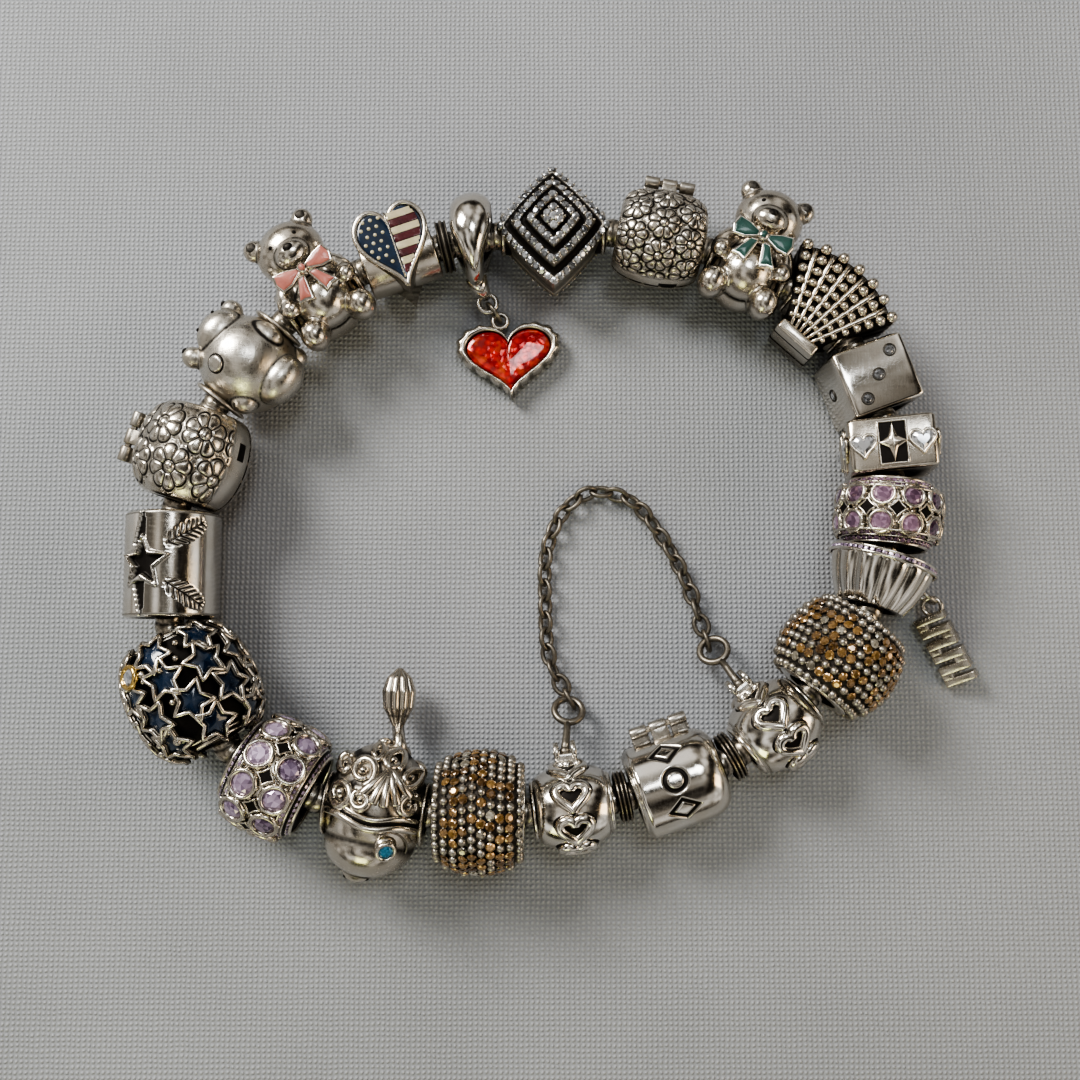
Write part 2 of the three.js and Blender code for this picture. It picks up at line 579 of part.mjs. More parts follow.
// The heart that hangs from the smooth bail and lies on the table: a fluted rim round red enamel.
function makePendant(tableZ) {
  const { width, height, thick, rim, jumpRadius, jumpWire } = pendant;
  const flutes = 20;
  const inset = (edge, count) =>
    heartPoints(width - 2 * edge, height - 2 * edge, count).map(([x, y]) => [y, -x]);
  const crimped = inset(0, flutes * 2).map(([x, y], i) => {
    const bulge = i % 2 ? 1 : 0.95;
    return [x * bulge, y * bulge];
  });
  const well = inset(rim, 16);
  const at = [1.6, -12.1, tableZ];
  const frame = cut(
    join(
      placed(plate(crimped, thick), { at, turn: [0, 0, -6] }),
      placed(new THREE.TorusGeometry(0.75, 0.27, 5, 8), { at: [1.39, -7.76, tableZ + 1.44] }),
    ),
    placed(plate(well, thick), { at: [at[0], at[1], at[2] + thick * 0.45], turn: [0, 0, -6] }),
  );
  const enamel = placed(plate(inset(rim + gap, 16), thick * 0.45), {
    at: [at[0], at[1], at[2] + thick * 0.45 + gap * 0.6], turn: [0, 0, -6],
  });
  const jump = placed(new THREE.TorusGeometry(jumpRadius, jumpWire, 5, 10), {
    at: [0.91, -6.78, tableZ + 1.54], turn: [0, 90, 26.6],
  });
  return [
    mesh("pendant_frame", frame, silver),
    mesh("pendant_enamel", enamel, redEnamel),
    mesh("pendant_ring", jump, darkSilver),
  ];
}

// A puffed square set on its corner, in stepped square rings round a centre stone.
function makeDiamond() {
  const { width, across, thick, corner, steps } = diamond;
  const square = (size) => {
    const r = size / 2;
    const c0 = size * corner;
    const points = [];
    for (let k = 0; k < 4; k += 1) {
      const t = (Math.PI / 2) * k;
      const [c, s] = [Math.cos(t), Math.sin(t)];
      [[r - 0.6 * c0, -0.5 * c0], [r - 0.3 * c0, 0], [r - 0.6 * c0, 0.5 * c0]].forEach(([x, y]) =>
        points.push([x * c - y * s, x * s + y * c]));
    }
    return points;
  };
  const half = thick / 2;
  const layers = Array.from({ length: steps + 1 }, (_, i) => {
    const share = i / (steps + 0.6);
    const size = across * (1 - share * 0.78);
    return placed(plate(square(size), half * (1.25 + share * 0.55)), { at: [0, 0, -half * 0.55] });
  });
  const back = placed(plate(square(across * 0.8), 1.2), { at: [0, 0, -half * 0.55 - 1.0] });
  const tube = placed(rod(3.0, width, 12));
  const trim = [-1, 1].map((side) => placed(block(3, 20, 6.6), {
    at: [side * (width / 2 + 1.5), 0, -1.2],
  }));
  const centre = placed(stone(1.25), { at: [0, 0, half * 0.72 + half * 0.5] });
  const body = cut(join(layers, back, tube), trim, boreTool(width));
  return [mesh("diamond", join(body, centre), clear)];
}

// An open hand fan: plain ribs on a thinner leaf, spread from a bar on the inner side.
function makeFan() {
  const { width, ribs, reach, thick, tube } = fan;
  const pivot = -4.2;
  const spread = 66;
  const slope = 5;
  const body = placed(rod(tube, width, 12));
  const bar = placed(block(5.6, 1.3, thick), { at: [0, pivot, 0] });
  const blades = Array.from({ length: ribs }, (_, i) => {
    const angle = spread * (i / (ribs - 1) - 0.5);
    const a = THREE.MathUtils.degToRad(angle);
    const along = (share) => [Math.sin(a) * reach * share, pivot + Math.cos(a) * reach * share, 0];
    return placed(block(1.0, reach * 0.66, thick), { at: along(0.67), turn: [0, 0, -angle] });
  });
  const web = [[-1.2, 0], [1.2, 0]];
  for (let i = 0; i <= 3; i += 1) {
    const a = THREE.MathUtils.degToRad(spread * (0.5 - i / 3));
    web.push([Math.sin(a) * (reach - 0.7), Math.cos(a) * (reach - 0.7)]);
  }
  const sheet = placed(plate(web, thick - 1.2), { at: [0, pivot, -(thick - 1.2) / 2] });
  const lean = new THREE.Group();
  const whole = cut(join(body, bar, sheet, blades), boreTool(width + 6));
  lean.add(mesh("fan", whole, silver));
  lean.rotation.x = THREE.MathUtils.degToRad(slope);
  return [lean];
}

// A square block along the bore with its long edges taken off.
function squareBlock(width, side, edge) {
  const half = side / 2;
  const section = [
    [half - edge, -half], [half, -half + edge], [half, half - edge], [half - edge, half],
    [-half + edge, half], [-half, half - edge], [-half, -half + edge], [-half + edge, -half],
  ];
  return placed(plate(section, width).rotateX(Math.PI / 2).rotateZ(Math.PI / 2), {
    at: [-width / 2, 0, 0],
  });
}

// A cube set with round stones like a die.
function makeDice() {
  const { width, side, edge, stoneRadius } = dice;
  const half = side / 2;
  const body = squareBlock(width, side, edge);
  const off = width * 0.27;
  const pips = [
    { around: 90, spots: [[-off, off], [0, 0], [off, -off]] },
    { around: 180, spots: [[0, 0]] },
    { around: 0, spots: [-off, 0, off].flatMap((x) => [[x, -off], [x, off]]) },
  ];
  const stones = pips.flatMap(({ around, spots }) => spots.map(([x, y]) =>
    seated(stone(stoneRadius).translate(x, y, 0), { around, radius: half })));
  return [mesh("dice", join(cut(body, boreTool(width)), stones), silver)];
}

// A square block with a heart-shaped setting and a raised four-pointed motif on three sides.
function makeHeartBlock() {
  const { width, side, edge } = heartBlock;
  const half = side / 2;
  const core = squareBlock(width, side, edge);
  const faces = [0, 90, 180];
  const hearts = faces.map((around) => {
    const setting = plate(heartPoints(3.4, 3.3, 8), 0.55);
    return seated(setting.translate(0, 2.1, 0), { around, radius: half - 0.35 });
  });
  const gems = faces.map((around) => {
    const gem = stone(1.15).translate(-0.1, 2.1, 0);
    return seated(gem, { around, radius: half + 0.15 });
  });
  const motifs = faces.map((around) =>
    seated(plate(starPoints(1.65, 0.4, 4), 0.8).translate(0, -1.9, 0), { around, radius: half - 0.3 }));
  const holed = cut(join(core, hearts, gems, motifs), boreTool(width));
  const group = new THREE.Group();
  group.add(mesh("heart_block", holed, silver));
  group.rotation.x = THREE.MathUtils.degToRad(12);
  return [group];
}

// A fluted cup-shaped bail that narrows along the chain, with a lug on the outer side.
function makeFlutedBail() {
  const { width, wide, narrow, flutes, fluteDepth } = flutedBail;
  const half = width / 2;
  const steps = 3;
  const sides = flutes * 2;
  const profile = Array.from({ length: steps + 1 }, (_, i) => {
    const t = i / steps;
    return [-half + width * t, wide - fluteDepth * 0.5 - (wide - narrow) * t * t];
  });
  const points = [...profile, [half, bore], [-half, bore], profile[0]]
    .map(([x, r]) => new THREE.Vector2(r, x));
  const geometry = new THREE.LatheGeometry(points, sides);
  const position = geometry.attributes.position;
  for (let i = 0; i < position.count; i += 1) {
    const [x, y, z] = [position.getX(i), position.getY(i), position.getZ(i)];
    const r = Math.hypot(x, z);
    if (r > bore + 0.1) {
      const crest = Math.round((Math.atan2(z, x) / Math.PI) * flutes) % 2 ? -0.5 : 0.5;
      const share = (r + crest * fluteDepth) / r;
      position.setXYZ(i, x * share, y, z * share);
    }
  }
  const cup = placed(geometry.rotateZ(-Math.PI / 2));
  const lug = placed(new THREE.TorusGeometry(0.95, 0.28, 5, 8), {
    at: [-0.9, 4.59, -3.21], turn: [-35, 0, 0],
  });
  return [mesh("fluted_bail", join(cup, lug), silver)];
}

// The slotted tag that hangs from the fluted bail, on its own loop.
function makeTag(tableZ) {
  const { width, length, thick, slits, slit } = tag;
  const turnZ = -46;
  const tilt = 36;
  const body = block(width, length, thick);
  const cuts = [];
  for (let i = 0; i < slits; i += 1) {
    const y = length * ((i + 0.75) / (slits + 0.5) - 0.5);
    const side = i % 2 ? 1 : -1;
    cuts.push(placed(block(width * 0.62, slit, thick + 1), { at: [side * width * 0.3, y, 0] }));
  }
  const loop = placed(new THREE.TorusGeometry(0.9, 0.24, 5, 8), { at: [-0.7, -length / 2 - 0.65, 0] });
  const whole = join(cut(placed(body), cuts), loop);
  const group = new THREE.Group();
  group.add(mesh("tag", whole, silver));
  group.position.set(3.62, 9.56, tableZ + 1.5);
  group.rotation.set(0, THREE.MathUtils.degToRad(tilt), THREE.MathUtils.degToRad(turnZ), "ZYX");
  const ring = placed(new THREE.TorusGeometry(1.15, 0.19, 5, 10), {
    at: [-0.61, 5.93, -3.43], turn: [0, 90, -14.6],
  });
  return [group, mesh("tag_ring", ring, silver)];
}

// A fish, its head out of the loop, with a set eye and a fin on each side and a long tail bud.
function makeFish() {
  const { width, long, high, eye, tailLength, tailRadius } = fish;
  const body = placed(ball(1, 12, 7), { size: [width / 2 + 0.9, long, high] });
  const trim = endTrim(width);
  const mouth = placed(ball(1, 7, 4), { at: [1.0, long - 0.1, -0.6], size: [1.5, 0.9, 1.2] });
  const eyes = [1, -1].map((up) => ({
    at: [-1.9, 2.7, up * (high - 1.05)],
    turn: [up > 0 ? -22 : 202, -16 * up, 0],
  }));
  const bezel = new THREE.CylinderGeometry(eye + 0.4, eye + 0.7, 1.2, 8).rotateX(Math.PI / 2);
  const bezels = eyes.map((seat) => placed(bezel, seat));
  const gems = eyes.map((seat) => placed(stone(eye - 0.05).translate(0, 0, 0.6), seat));
  const fins = [1, -1].map((up) => placed(ball(1, 7, 4), {
    at: [-1.3, -2.3, up * (high - 1.15)], size: [2.2, 2.5, 1.2], turn: [18 * up, 0, 20],
  }));
  const bubbles = [1, -1].map((up) => placed(ball(0.75, 6, 4), { at: [2.9, -1.6, up * 3.9] }));
  const whole = cut(join(cut(body, trim), mouth, bezels, gems, fins, bubbles), boreTool(width));
  const neck = placed(new THREE.CylinderGeometry(0.4, 0.55, 2.2, 6), {
    at: [-2.2, -long - 0.2, -1.4], turn: [20, 0, -12],
  });
  const budSection = [[0, -0.5], [0.7, -0.42], [1, -0.2], [0.8, 0.15], [0.35, 0.45], [0, 0.5]];
  const bud = new THREE.LatheGeometry(
    budSection.map(([r, y]) => new THREE.Vector2(r * tailRadius, y * tailLength)), 8,
  );
  const tail = placed(bud, { at: [-2.9, -long - 3.7, -2.6], turn: [0, 0, 168] });
  return [mesh("fish", join(whole, neck, tail), silver)];
}

const MAKERS = {
  clasp: makeClasp,
  collar_left: () => makeCollar("collar_left"),
  heart_clip_left: () => makeHeartClip("heart_clip_left"),
  amber_bead_left: () => makePave("amber_bead_left"),
  fish: makeFish,
  lilac_bead_left: () => makeLilac("lilac_bead_left", lilacWide),
  star_ball: makeStarBall,
  star_barrel: makeStarBarrel,
  daisy_clip_left: () => makeDaisyClip("daisy_clip_left", daisyLarge),
  hippo: makeHippo,
  bear_pink: () => makeBear("bear_pink", pinkEnamel),
  plaque: makePlaque,
  spacer: makeSpacer,
  smooth_bail: () => [...makeSmoothBail(), ...makePendant(-smoothBail.radius)],
  diamond: makeDiamond,
  daisy_clip_right: () => makeDaisyClip("daisy_clip_right", daisySmall),
  bear_green: () => makeBear("bear_green", greenEnamel),
  fan: makeFan,
  dice: makeDice,
  heart_block: makeHeartBlock,
  lilac_bead_right: () => makeLilac("lilac_bead_right", lilacNarrow),
  fluted_bail: () => [...makeFlutedBail(), ...makeTag(-flutedBail.wide)],
  amber_bead_right: () => makePave("amber_bead_right"),
  heart_clip_right: () => makeHeartClip("heart_clip_right"),
  collar_right: () => makeCollar("collar_right"),
};

// The closed route as even samples, with the length run so far at each.
function sampledRoute(points, count = 1200) {
  const spots = points.map(([x, y]) => new THREE.Vector3(x, y, 0));
  const curve = new THREE.CatmullRomCurve3(spots, true, "catmullrom", 0.5);
  const samples = Array.from({ length: count + 1 }, (_, i) => curve.getPoint((i % count) / count));
  const run = [0];
  for (let i = 1; i <= count; i += 1) run.push(run[i - 1] + samples[i].distanceTo(samples[i - 1]));
  return { samples, run, total: run[count] };
}

// Position and heading at a share of the route's length.
function alongRoute({ samples, run, total }, share) {
  const wanted = (share - Math.floor(share)) * total;
  let i = run.findIndex((length) => length > wanted) - 1;
  i = Math.min(Math.max(i, 0), samples.length - 2);
  const part = (wanted - run[i]) / (run[i + 1] - run[i]);
  const count = samples.length - 1;
  const ahead = samples[(i + 6) % count];
  const behind = samples[(i - 5 + count) % count];
  return {
    point: samples[i].clone().lerp(samples[i + 1], part),
    heading: Math.atan2(ahead.y - behind.y, ahead.x - behind.x),
  };
}

// A small charm between large ones hangs on the chain, clear of the table: no bore is more than
// play lower than the next.
function hung(pieces, play) {
  const raised = pieces.map((piece) => ({ ...piece }));
  for (let pass = 0; pass < 4; pass += 1) {
    raised.forEach((piece, i) => {
      const sides = [raised[(i + 1) % raised.length], raised[(i + raised.length - 1) % raised.length]];
      piece.rest = Math.max(piece.rest, ...sides.map((side) => side.rest - play));
    });
  }
  return raised;
}

// Threads the pieces onto the route. Neighbours that turn from each other need more room on the
// inside of the bend, and the loop grows or shrinks to the length that the pieces fill.
function thread(pieces, route) {
  const count = pieces.length;
  let slack = pieces.map(() => charmGap);
  let stations = [];
  let total = 0;
  for (let pass = 0; pass < 8; pass += 1) {
    total = 0;
    stations = pieces.map((piece, i) => {
      const station = total;
      const next = pieces[(i + 1) % count];
      total += piece.width / 2 + slack[i] + next.width / 2;
      return station;
    });
    const headings = stations.map((station) => alongRoute(route, station / total).heading);
    slack = pieces.map((piece, i) => {
      let turn = headings[i] - headings[(i + 1) % count];
      turn -= 2 * Math.PI * Math.round(turn / (2 * Math.PI));
      return charmGap + (piece.end + pieces[(i + 1) % count].end) * Math.tan(Math.abs(turn) / 2);
    });
  }
  const scale = total / route.total;
  const seats = pieces.map((piece, i) => {
    const { point, heading } = alongRoute(route, stations[i] / total);
    return { ...piece, x: point.x * scale, y: point.y * scale, heading };
  });
  return { scale, seats };
}

const bracelet = new THREE.Group();
const { seats, scale: routeScale } = thread(hung(THREADED, 1.0), sampledRoute(ROUTE));
const groups = {};
for (const seat of seats) {
  const group = new THREE.Group();
  group.position.set(seat.x, seat.y, seat.rest);
  group.rotation.z = seat.heading;
  group.add(...MAKERS[seat.name]());
  groups[seat.name] = group;
  bracelet.add(group);
}
groups.bear_pink.rotation.set(THREE.MathUtils.degToRad(24), 0, groups.bear_pink.rotation.z, "ZYX");

// The snake chain: a round rope from the clasp, through every bore, back to the knob. It is
// straight inside a charm and bends between charms, where its section is mitred.
function makeSnakeChain() {
  const sides = 8;
  const spot = (seat, x) => new THREE.Vector3(
    seat.x + x * Math.cos(seat.heading), seat.y + x * Math.sin(seat.heading), seat.rest,
  );
  const clip = seats[0];
  const wide = seats.filter((seat) => seat.width > 3);
  const bends = wide.map((seat, i) => {
    const next = wide[(i + 1) % wide.length];
    return spot(seat, seat.width / 2).add(spot(next, -next.width / 2)).divideScalar(2);
  });
  const tail = clasp.cavity / 2 - 0.5;
  const stops = [spot(clip, tail), ...bends, spot(clip, -tail)];
  const rings = stops.map((stop, i) => {
    const heading = stops[Math.min(i + 1, stops.length - 1)].clone()
      .sub(stops[Math.max(i - 1, 0)]).setZ(0).normalize();
    const side = new THREE.Vector3(heading.y, -heading.x, 0);
    return Array.from({ length: sides }, (_, k) => {
      const t = (2 * Math.PI * (k + 0.5)) / sides;
      return stop.clone().addScaledVector(side, chainRadius * Math.cos(t))
        .add(new THREE.Vector3(0, 0, chainRadius * Math.sin(t)));
    });
  });
  const corners = [];
  const facet = (...points) => corners.push(...points.flatMap((point) => point.toArray()));
  rings.slice(1).forEach((ring, i) => ring.forEach((point, k) => {
    const next = (k + 1) % sides;
    facet(rings[i][k], point, ring[next]);
    facet(rings[i][k], ring[next], rings[i][next]);
  }));
  [[rings[0], stops[0], 1], [rings[rings.length - 1], stops[stops.length - 1], -1]]
    .forEach(([ring, centre, way]) => ring.forEach((point, k) => {
      const next = ring[(k + 1) % sides];
      facet(centre, ...(way > 0 ? [point, next] : [next, point]));
    }));
  const geometry = new THREE.BufferGeometry();
  geometry.setAttribute("position", new THREE.Float32BufferAttribute(corners, 3));
  return mesh("snake_chain", solid(geometry), darkSilver);
}
bracelet.add(makeSnakeChain());

// The safety chain's oval links, each turned a quarter from the last, between the two eyes.
function makeSafetyChain() {
  const eyes = ["heart_clip_left", "heart_clip_right"].map((name) => {
    const ring = groups[name].getObjectByName(`${name}_eye`);
    ring.updateWorldMatrix(true, false);
    return ring;
  });
  const reach = eyeRing.stem + 2 * eyeRing.radius;
  const ends = eyes.map((ring) => ring.localToWorld(new THREE.Vector3(0, -reach, 0)));
  const middle = SAFETY_ROUTE.map(([x, y]) =>
    new THREE.Vector3(x * routeScale, y * routeScale, link.width / 2 + 0.05));
  const path = new THREE.CatmullRomCurve3([ends[0], ...middle, ends[1]], false, "centripetal");
  const { count } = link;
  const inside = path.getLength() / count - link.press;
  const centreLength = (inside + link.wire * Math.cos(Math.PI / 5)) / Math.cos(Math.PI / 10);
  const oval = new THREE.TorusGeometry(1, 0.1, 5, 10);
  const shape = (() => {
    const spot = oval.attributes.position;
    for (let i = 0; i < spot.count; i += 1) {
      const [x, y, z] = [spot.getX(i), spot.getY(i), spot.getZ(i)];
      const around = Math.atan2(y, x) + Math.PI / 10;
      const across = (Math.hypot(x, y) - 1) / 0.1;
      const wire = link.wire / 2;
      spot.setXYZ(
        i,
        (centreLength / 2 + across * wire) * Math.cos(around),
        ((link.width - link.wire) / 2 + across * wire) * Math.sin(around),
        (z / 0.1) * wire,
      );
    }
    return oval;
  })();
  const links = Array.from({ length: count + 1 }, (_, i) => {
    const share = i / count;
    const at = path.getPointAt(share);
    const ahead = path.getTangentAt(share);
    const start = Math.max(0, 1 - i / 4);
    const end = Math.max(0, 1 - (count - i) / 4);
    const roll = 45 + 90 * i + 45 * (start + (count % 2 ? -end : end));
    const side = new THREE.Vector3(0, 0, 1).cross(ahead).normalize();
    const turn = new THREE.Matrix4().makeRotationX(THREE.MathUtils.degToRad(roll));
    const matrix = new THREE.Matrix4().makeBasis(ahead, side, ahead.clone().cross(side))
      .setPosition(at).multiply(turn);
    return solid(shape.clone().applyMatrix4(matrix));
  });
  return mesh("safety_chain", join(links), darkSilver);
}
for (const [name, turn] of [["heart_clip_left", [38, 0, -14]], ["heart_clip_right", [38, 0, -10]]]) {
  const eye = groups[name].getObjectByName(`${name}_eye`).parent;
  eye.rotation.set(...turn.map(THREE.MathUtils.degToRad), "ZYX");
}
bracelet.updateMatrixWorld(true);
bracelet.add(makeSafetyChain());

// The knob sits in the clasp, on the side that the chain's far end comes in.
const knob = makeKnob()[0];
groups.clasp.add(knob);

// The origin is under the middle of the bracelet, on the table.
bracelet.updateMatrixWorld(true);
const box = new THREE.Box3().setFromObject(bracelet, true);
const middle = box.getCenter(new THREE.Vector3());
bracelet.position.set(-middle.x, -middle.y, -box.min.z);

export default bracelet;
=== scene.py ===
"""Charm bracelet: the visual model and its studio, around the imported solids.

Every charm is built in its own millimetres: X runs along the snake chain, Y points out of the
loop and Z points up. A charm's placement turns those into metres in the frame."""

import math

import bpy
import numpy as np
from bpy.props import FloatProperty, FloatVectorProperty, IntProperty, PointerProperty
from mathutils import Matrix, Vector


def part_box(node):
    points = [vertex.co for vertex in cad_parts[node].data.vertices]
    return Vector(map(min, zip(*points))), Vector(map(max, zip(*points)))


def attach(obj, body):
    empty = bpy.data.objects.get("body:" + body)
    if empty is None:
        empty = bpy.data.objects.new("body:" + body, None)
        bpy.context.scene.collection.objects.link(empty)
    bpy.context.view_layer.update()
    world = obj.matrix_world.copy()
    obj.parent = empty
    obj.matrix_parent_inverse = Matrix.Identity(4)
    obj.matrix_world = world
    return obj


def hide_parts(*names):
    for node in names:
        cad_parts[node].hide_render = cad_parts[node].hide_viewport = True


bl_info = {
    "name": "Charm Bracelet",
    "version": (1, 0, 0),
    "blender": (4, 5, 0),
    "location": "3D View > Sidebar > Bracelet",
    "description": "Builds a charm bracelet round its packed solids and lights it",
    "category": "Object",
}

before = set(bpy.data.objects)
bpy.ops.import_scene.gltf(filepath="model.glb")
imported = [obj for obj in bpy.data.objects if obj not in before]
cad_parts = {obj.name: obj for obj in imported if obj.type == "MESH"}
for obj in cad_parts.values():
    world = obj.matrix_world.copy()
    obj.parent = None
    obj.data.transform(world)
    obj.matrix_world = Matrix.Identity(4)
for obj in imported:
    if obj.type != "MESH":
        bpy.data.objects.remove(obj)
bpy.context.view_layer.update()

# A millimetre in metres, the body that does not move, and sizes in millimetres
MM = 0.001
ROOT = "bracelet"
CHARM_GAP = 0.25
CHAIN_RADIUS = 1.4
BORE = 2.15

# How dark the painted shade inside a bore is, and how full the side of a rounded bead
BORE_SHADE = 0.9
BELLY_POWER = 0.9

# The snake chain's route, as chosen points seen from above, clockwise from the clasp, in mm.
ROUTE = [
    (12.9, -22.6), (3.0, -24.9), (-7.2, -25.3), (-17.4, -24.6), (-27.0, -20.6),
    (-33.2, -12.2), (-34.9, -1.4), (-32.7, 9.6), (-27.4, 18.4), (-20.2, 25.0),
    (-10.5, 29.0), (0.8, 30.6), (12.6, 29.6), (22.9, 25.8), (30.2, 19.4),
    (33.4, 10.8), (33.3, 2.4), (31.4, -5.6), (26.9, -12.4), (20.6, -18.6),
]
SAFETY_ROUTE = [
    (1.0, -11.5), (0.5, -5.5), (0.7, -0.5), (2.3, 3.2),
    (5.0, 5.2), (9.0, 4.4), (12.2, 0.6), (14.6, -4.0),
]

# name, width along the chain, end radius, height of the bore above the table
THREADED = [
    ("clasp", 8.8, 2.3, 4.45),
    ("collar_left", 1.2, 2.5, 4.73),
    ("heart_clip_left", 7.7, 2.6, 5.0),
    ("amber_bead_left", 8.7, 3.2, 5.8),
    ("fish", 9.8, 2.6, 5.7),
    ("lilac_bead_left", 7.7, 3.6, 5.7),
    ("star_ball", 11.2, 2.8, 6.35),
    ("star_barrel", 10.2, 3.2, 4.65),
    ("daisy_clip_left", 9.4, 2.9, 5.55),
    ("hippo", 9.8, 2.5, 4.95),
    ("bear_pink", 8.2, 2.5, 4.9),
    ("plaque", 7.4, 3.0, 4.4),
    ("spacer", 1.1, 2.7, 4.5),
    ("smooth_bail", 3.8, 2.9, 4.6),
    ("diamond", 11.2, 3.0, 4.5),
    ("daisy_clip_right", 8.8, 2.8, 4.95),
    ("bear_green", 8.2, 2.5, 4.6),
    ("fan", 7.0, 2.8, 4.6),
    ("dice", 6.8, 3.1, 3.7),
    ("heart_block", 5.2, 3.1, 4.95),
    ("lilac_bead_right", 6.4, 3.5, 5.3),
    ("fluted_bail", 5.2, 3.4, 5.3),
    ("amber_bead_right", 8.7, 3.2, 5.8),
    ("heart_clip_right", 7.7, 2.6, 5.0),
    ("collar_right", 1.2, 2.5, 4.73),
]


# Layout
def cubic(start, end, slope_in, slope_out, t):
    """The cubic from start to end that has the two slopes there."""
    return (
        start + slope_in * t
        + (3 * (end - start) - 2 * slope_in - slope_out) * t**2
        + (2 * (start - end) + slope_in + slope_out) * t**3
    )


def run_along(points):
    """The length of a path up to each of its points."""
    return np.concatenate([[0], np.cumsum(np.linalg.norm(np.diff(points, axis=0), axis=1))])


def even_route(points, count=1200):
    """Samples of a closed curve through the points, with the length up to each. Its slope at a
    point is half the chord between the neighbours."""
    corners = np.array(points, float)
    share = (np.arange(count + 1) % count) / count * len(corners)
    index = share.astype(int)
    t = (share - index)[:, None]
    before, start, end, after = (corners[(index + step) % len(corners)] for step in (-1, 0, 1, 2))
    samples = cubic(start, end, (end - before) / 2, (after - start) / 2, t)
    return samples, run_along(samples)


def along_route(route, share):
    """Position and heading at shares of the route's length. The heading is the chord's, from five
    samples before to six after."""
    samples, run = route
    wanted = (share - np.floor(share)) * run[-1]
    i = np.clip(np.searchsorted(run, wanted, side="right") - 1, 0, len(samples) - 2)
    part = ((wanted - run[i]) / (run[i + 1] - run[i]))[:, None]
    count = len(samples) - 1
    ahead = samples[(i + 6) % count] - samples[(i - 5 + count) % count]
    return samples[i] * (1 - part) + samples[i + 1] * part, np.arctan2(ahead[:, 1], ahead[:, 0])


def threaded(play=1.0, passes=8):
    """Where each charm sits: its neighbours' widths and the bend between them set its station, and
    no bore lies lower than its neighbours' by more than play."""
    widths = np.array([row[1] for row in THREADED])
    ends = np.array([row[2] for row in THREADED])
    rests = np.array([row[3] for row in THREADED])
    for _ in range(4):
        for i in range(len(rests)):
            rests[i] = max(rests[i], rests[(i + 1) % len(rests)] - play, rests[i - 1] - play)
    route = even_route(ROUTE)
    slack = np.full(len(widths), CHARM_GAP)
    for _ in range(passes):
        steps = widths / 2 + slack + np.roll(widths, -1) / 2
        stations = np.concatenate([[0], np.cumsum(steps)[:-1]])
        total = steps.sum()
        spots, headings = along_route(route, stations / total)
        turn = headings - np.roll(headings, -1)
        turn -= 2 * np.pi * np.round(turn / (2 * np.pi))
        slack = CHARM_GAP + (ends + np.roll(ends, -1)) * np.tan(np.abs(turn) / 2)
    scale = total / route[1][-1]
    return scale, {
        row[0]: (spots[i][0] * scale, spots[i][1] * scale, rests[i], headings[i])
        for i, row in enumerate(THREADED)
    }


ROUTE_SCALE, SEATS = threaded()


def frame_shift():
    """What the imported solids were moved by, from the left collar, which is even about its bore."""
    low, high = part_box("collar_left")
    x, y, z, _ = SEATS["collar_left"]
    return (low + high) / 2 / MM - Vector((x, y, z))


SHIFT = frame_shift()


def turned(degrees, axis):
    """A turn about one axis."""
    return Matrix.Rotation(math.radians(degrees), 4, axis)


def seat(name, tip=0.0):
    """A charm's placement, tipped about its bore by an angle in degrees."""
    x, y, z, heading = SEATS[name]
    place = Matrix.Translation(Vector((x, y, z)) + SHIFT)
    return place @ Matrix.Rotation(heading, 4, "Z") @ turned(tip, "X")


# Shapes
class Shape:
    """Surfaces collected in a charm's own millimetres. mark is a number per point that the finishes read:
    how deep a silver point lies in a recess, with painted shade in bores, openings and hollows, or the
    painted brightness of a stone's facet, which stands in for the light it reflects."""

    def __init__(self):
        self.points, self.faces, self.marks, self.slots, self.smooth = [], [], [], [], []
        self.count = 0

    def add(self, points, faces, slot=0, mark=0.0, smooth=True, at=None):
        """Adds a closed surface, moved by at, with its faces turned outwards."""
        points = np.asarray(points, float).reshape(-1, 3)
        if at is not None:
            turn = np.array(at)
            points = points @ turn[:3, :3].T + turn[:3, 3]
        if signed_volume(points, faces) < 0:
            faces = faces[:, ::-1]
        self.points.append(points)
        self.marks.append(np.broadcast_to(np.ravel(mark), len(points)))
        self.faces.append(faces + self.count)
        self.slots.append(np.full(len(faces), slot))
        self.smooth.append(np.full(len(faces), smooth))
        self.count += len(points)

    def build(self, name, placement, finishes, slot, body=ROOT, replaces=()):
        """Makes the mesh in metres in the frame, hangs it on the body it rides on and hides the imported
        solids it stands for.
        """
        turn = np.array(placement)
        points = (np.vstack(self.points) @ turn[:3, :3].T + turn[:3, 3]) * MM
        sizes = np.concatenate([np.full(len(f), f.shape[1]) for f in self.faces])
        loops = np.concatenate([f.ravel() for f in self.faces])
        mesh = bpy.data.meshes.new(name)
        mesh.vertices.add(len(points))
        mesh.vertices.foreach_set("co", points.ravel())
        mesh.loops.add(len(loops))
        mesh.loops.foreach_set("vertex_index", loops)
        mesh.polygons.add(len(sizes))
        mesh.polygons.foreach_set("loop_start", np.concatenate([[0], np.cumsum(sizes)[:-1]]))
        mesh.polygons.foreach_set("material_index", np.concatenate(self.slots))
        mesh.polygons.foreach_set("use_smooth", np.concatenate(self.smooth))
        mark = mesh.attributes.new("mark", "FLOAT", "POINT")
        mark.data.foreach_set("value", np.concatenate(self.marks))
        mesh.update(calc_edges=True)
        mesh.validate()
        for finish in finishes:
            mesh.materials.append(finish)
        piece = bpy.data.objects.new(name, mesh)
        bpy.context.scene.collection.objects.link(piece)
        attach(piece, body)
        if replaces:
            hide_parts(*replaces)


def signed_volume(points, faces):
    """Six times the volume that the faces close, counted positive when they face outwards."""
    first = points[faces[:, 0]]
    return sum(
        np.einsum("ij,ij->i", first, np.cross(points[faces[:, k]], points[faces[:, k + 1]])).sum()
        for k in range(1, faces.shape[1] - 1)
    )


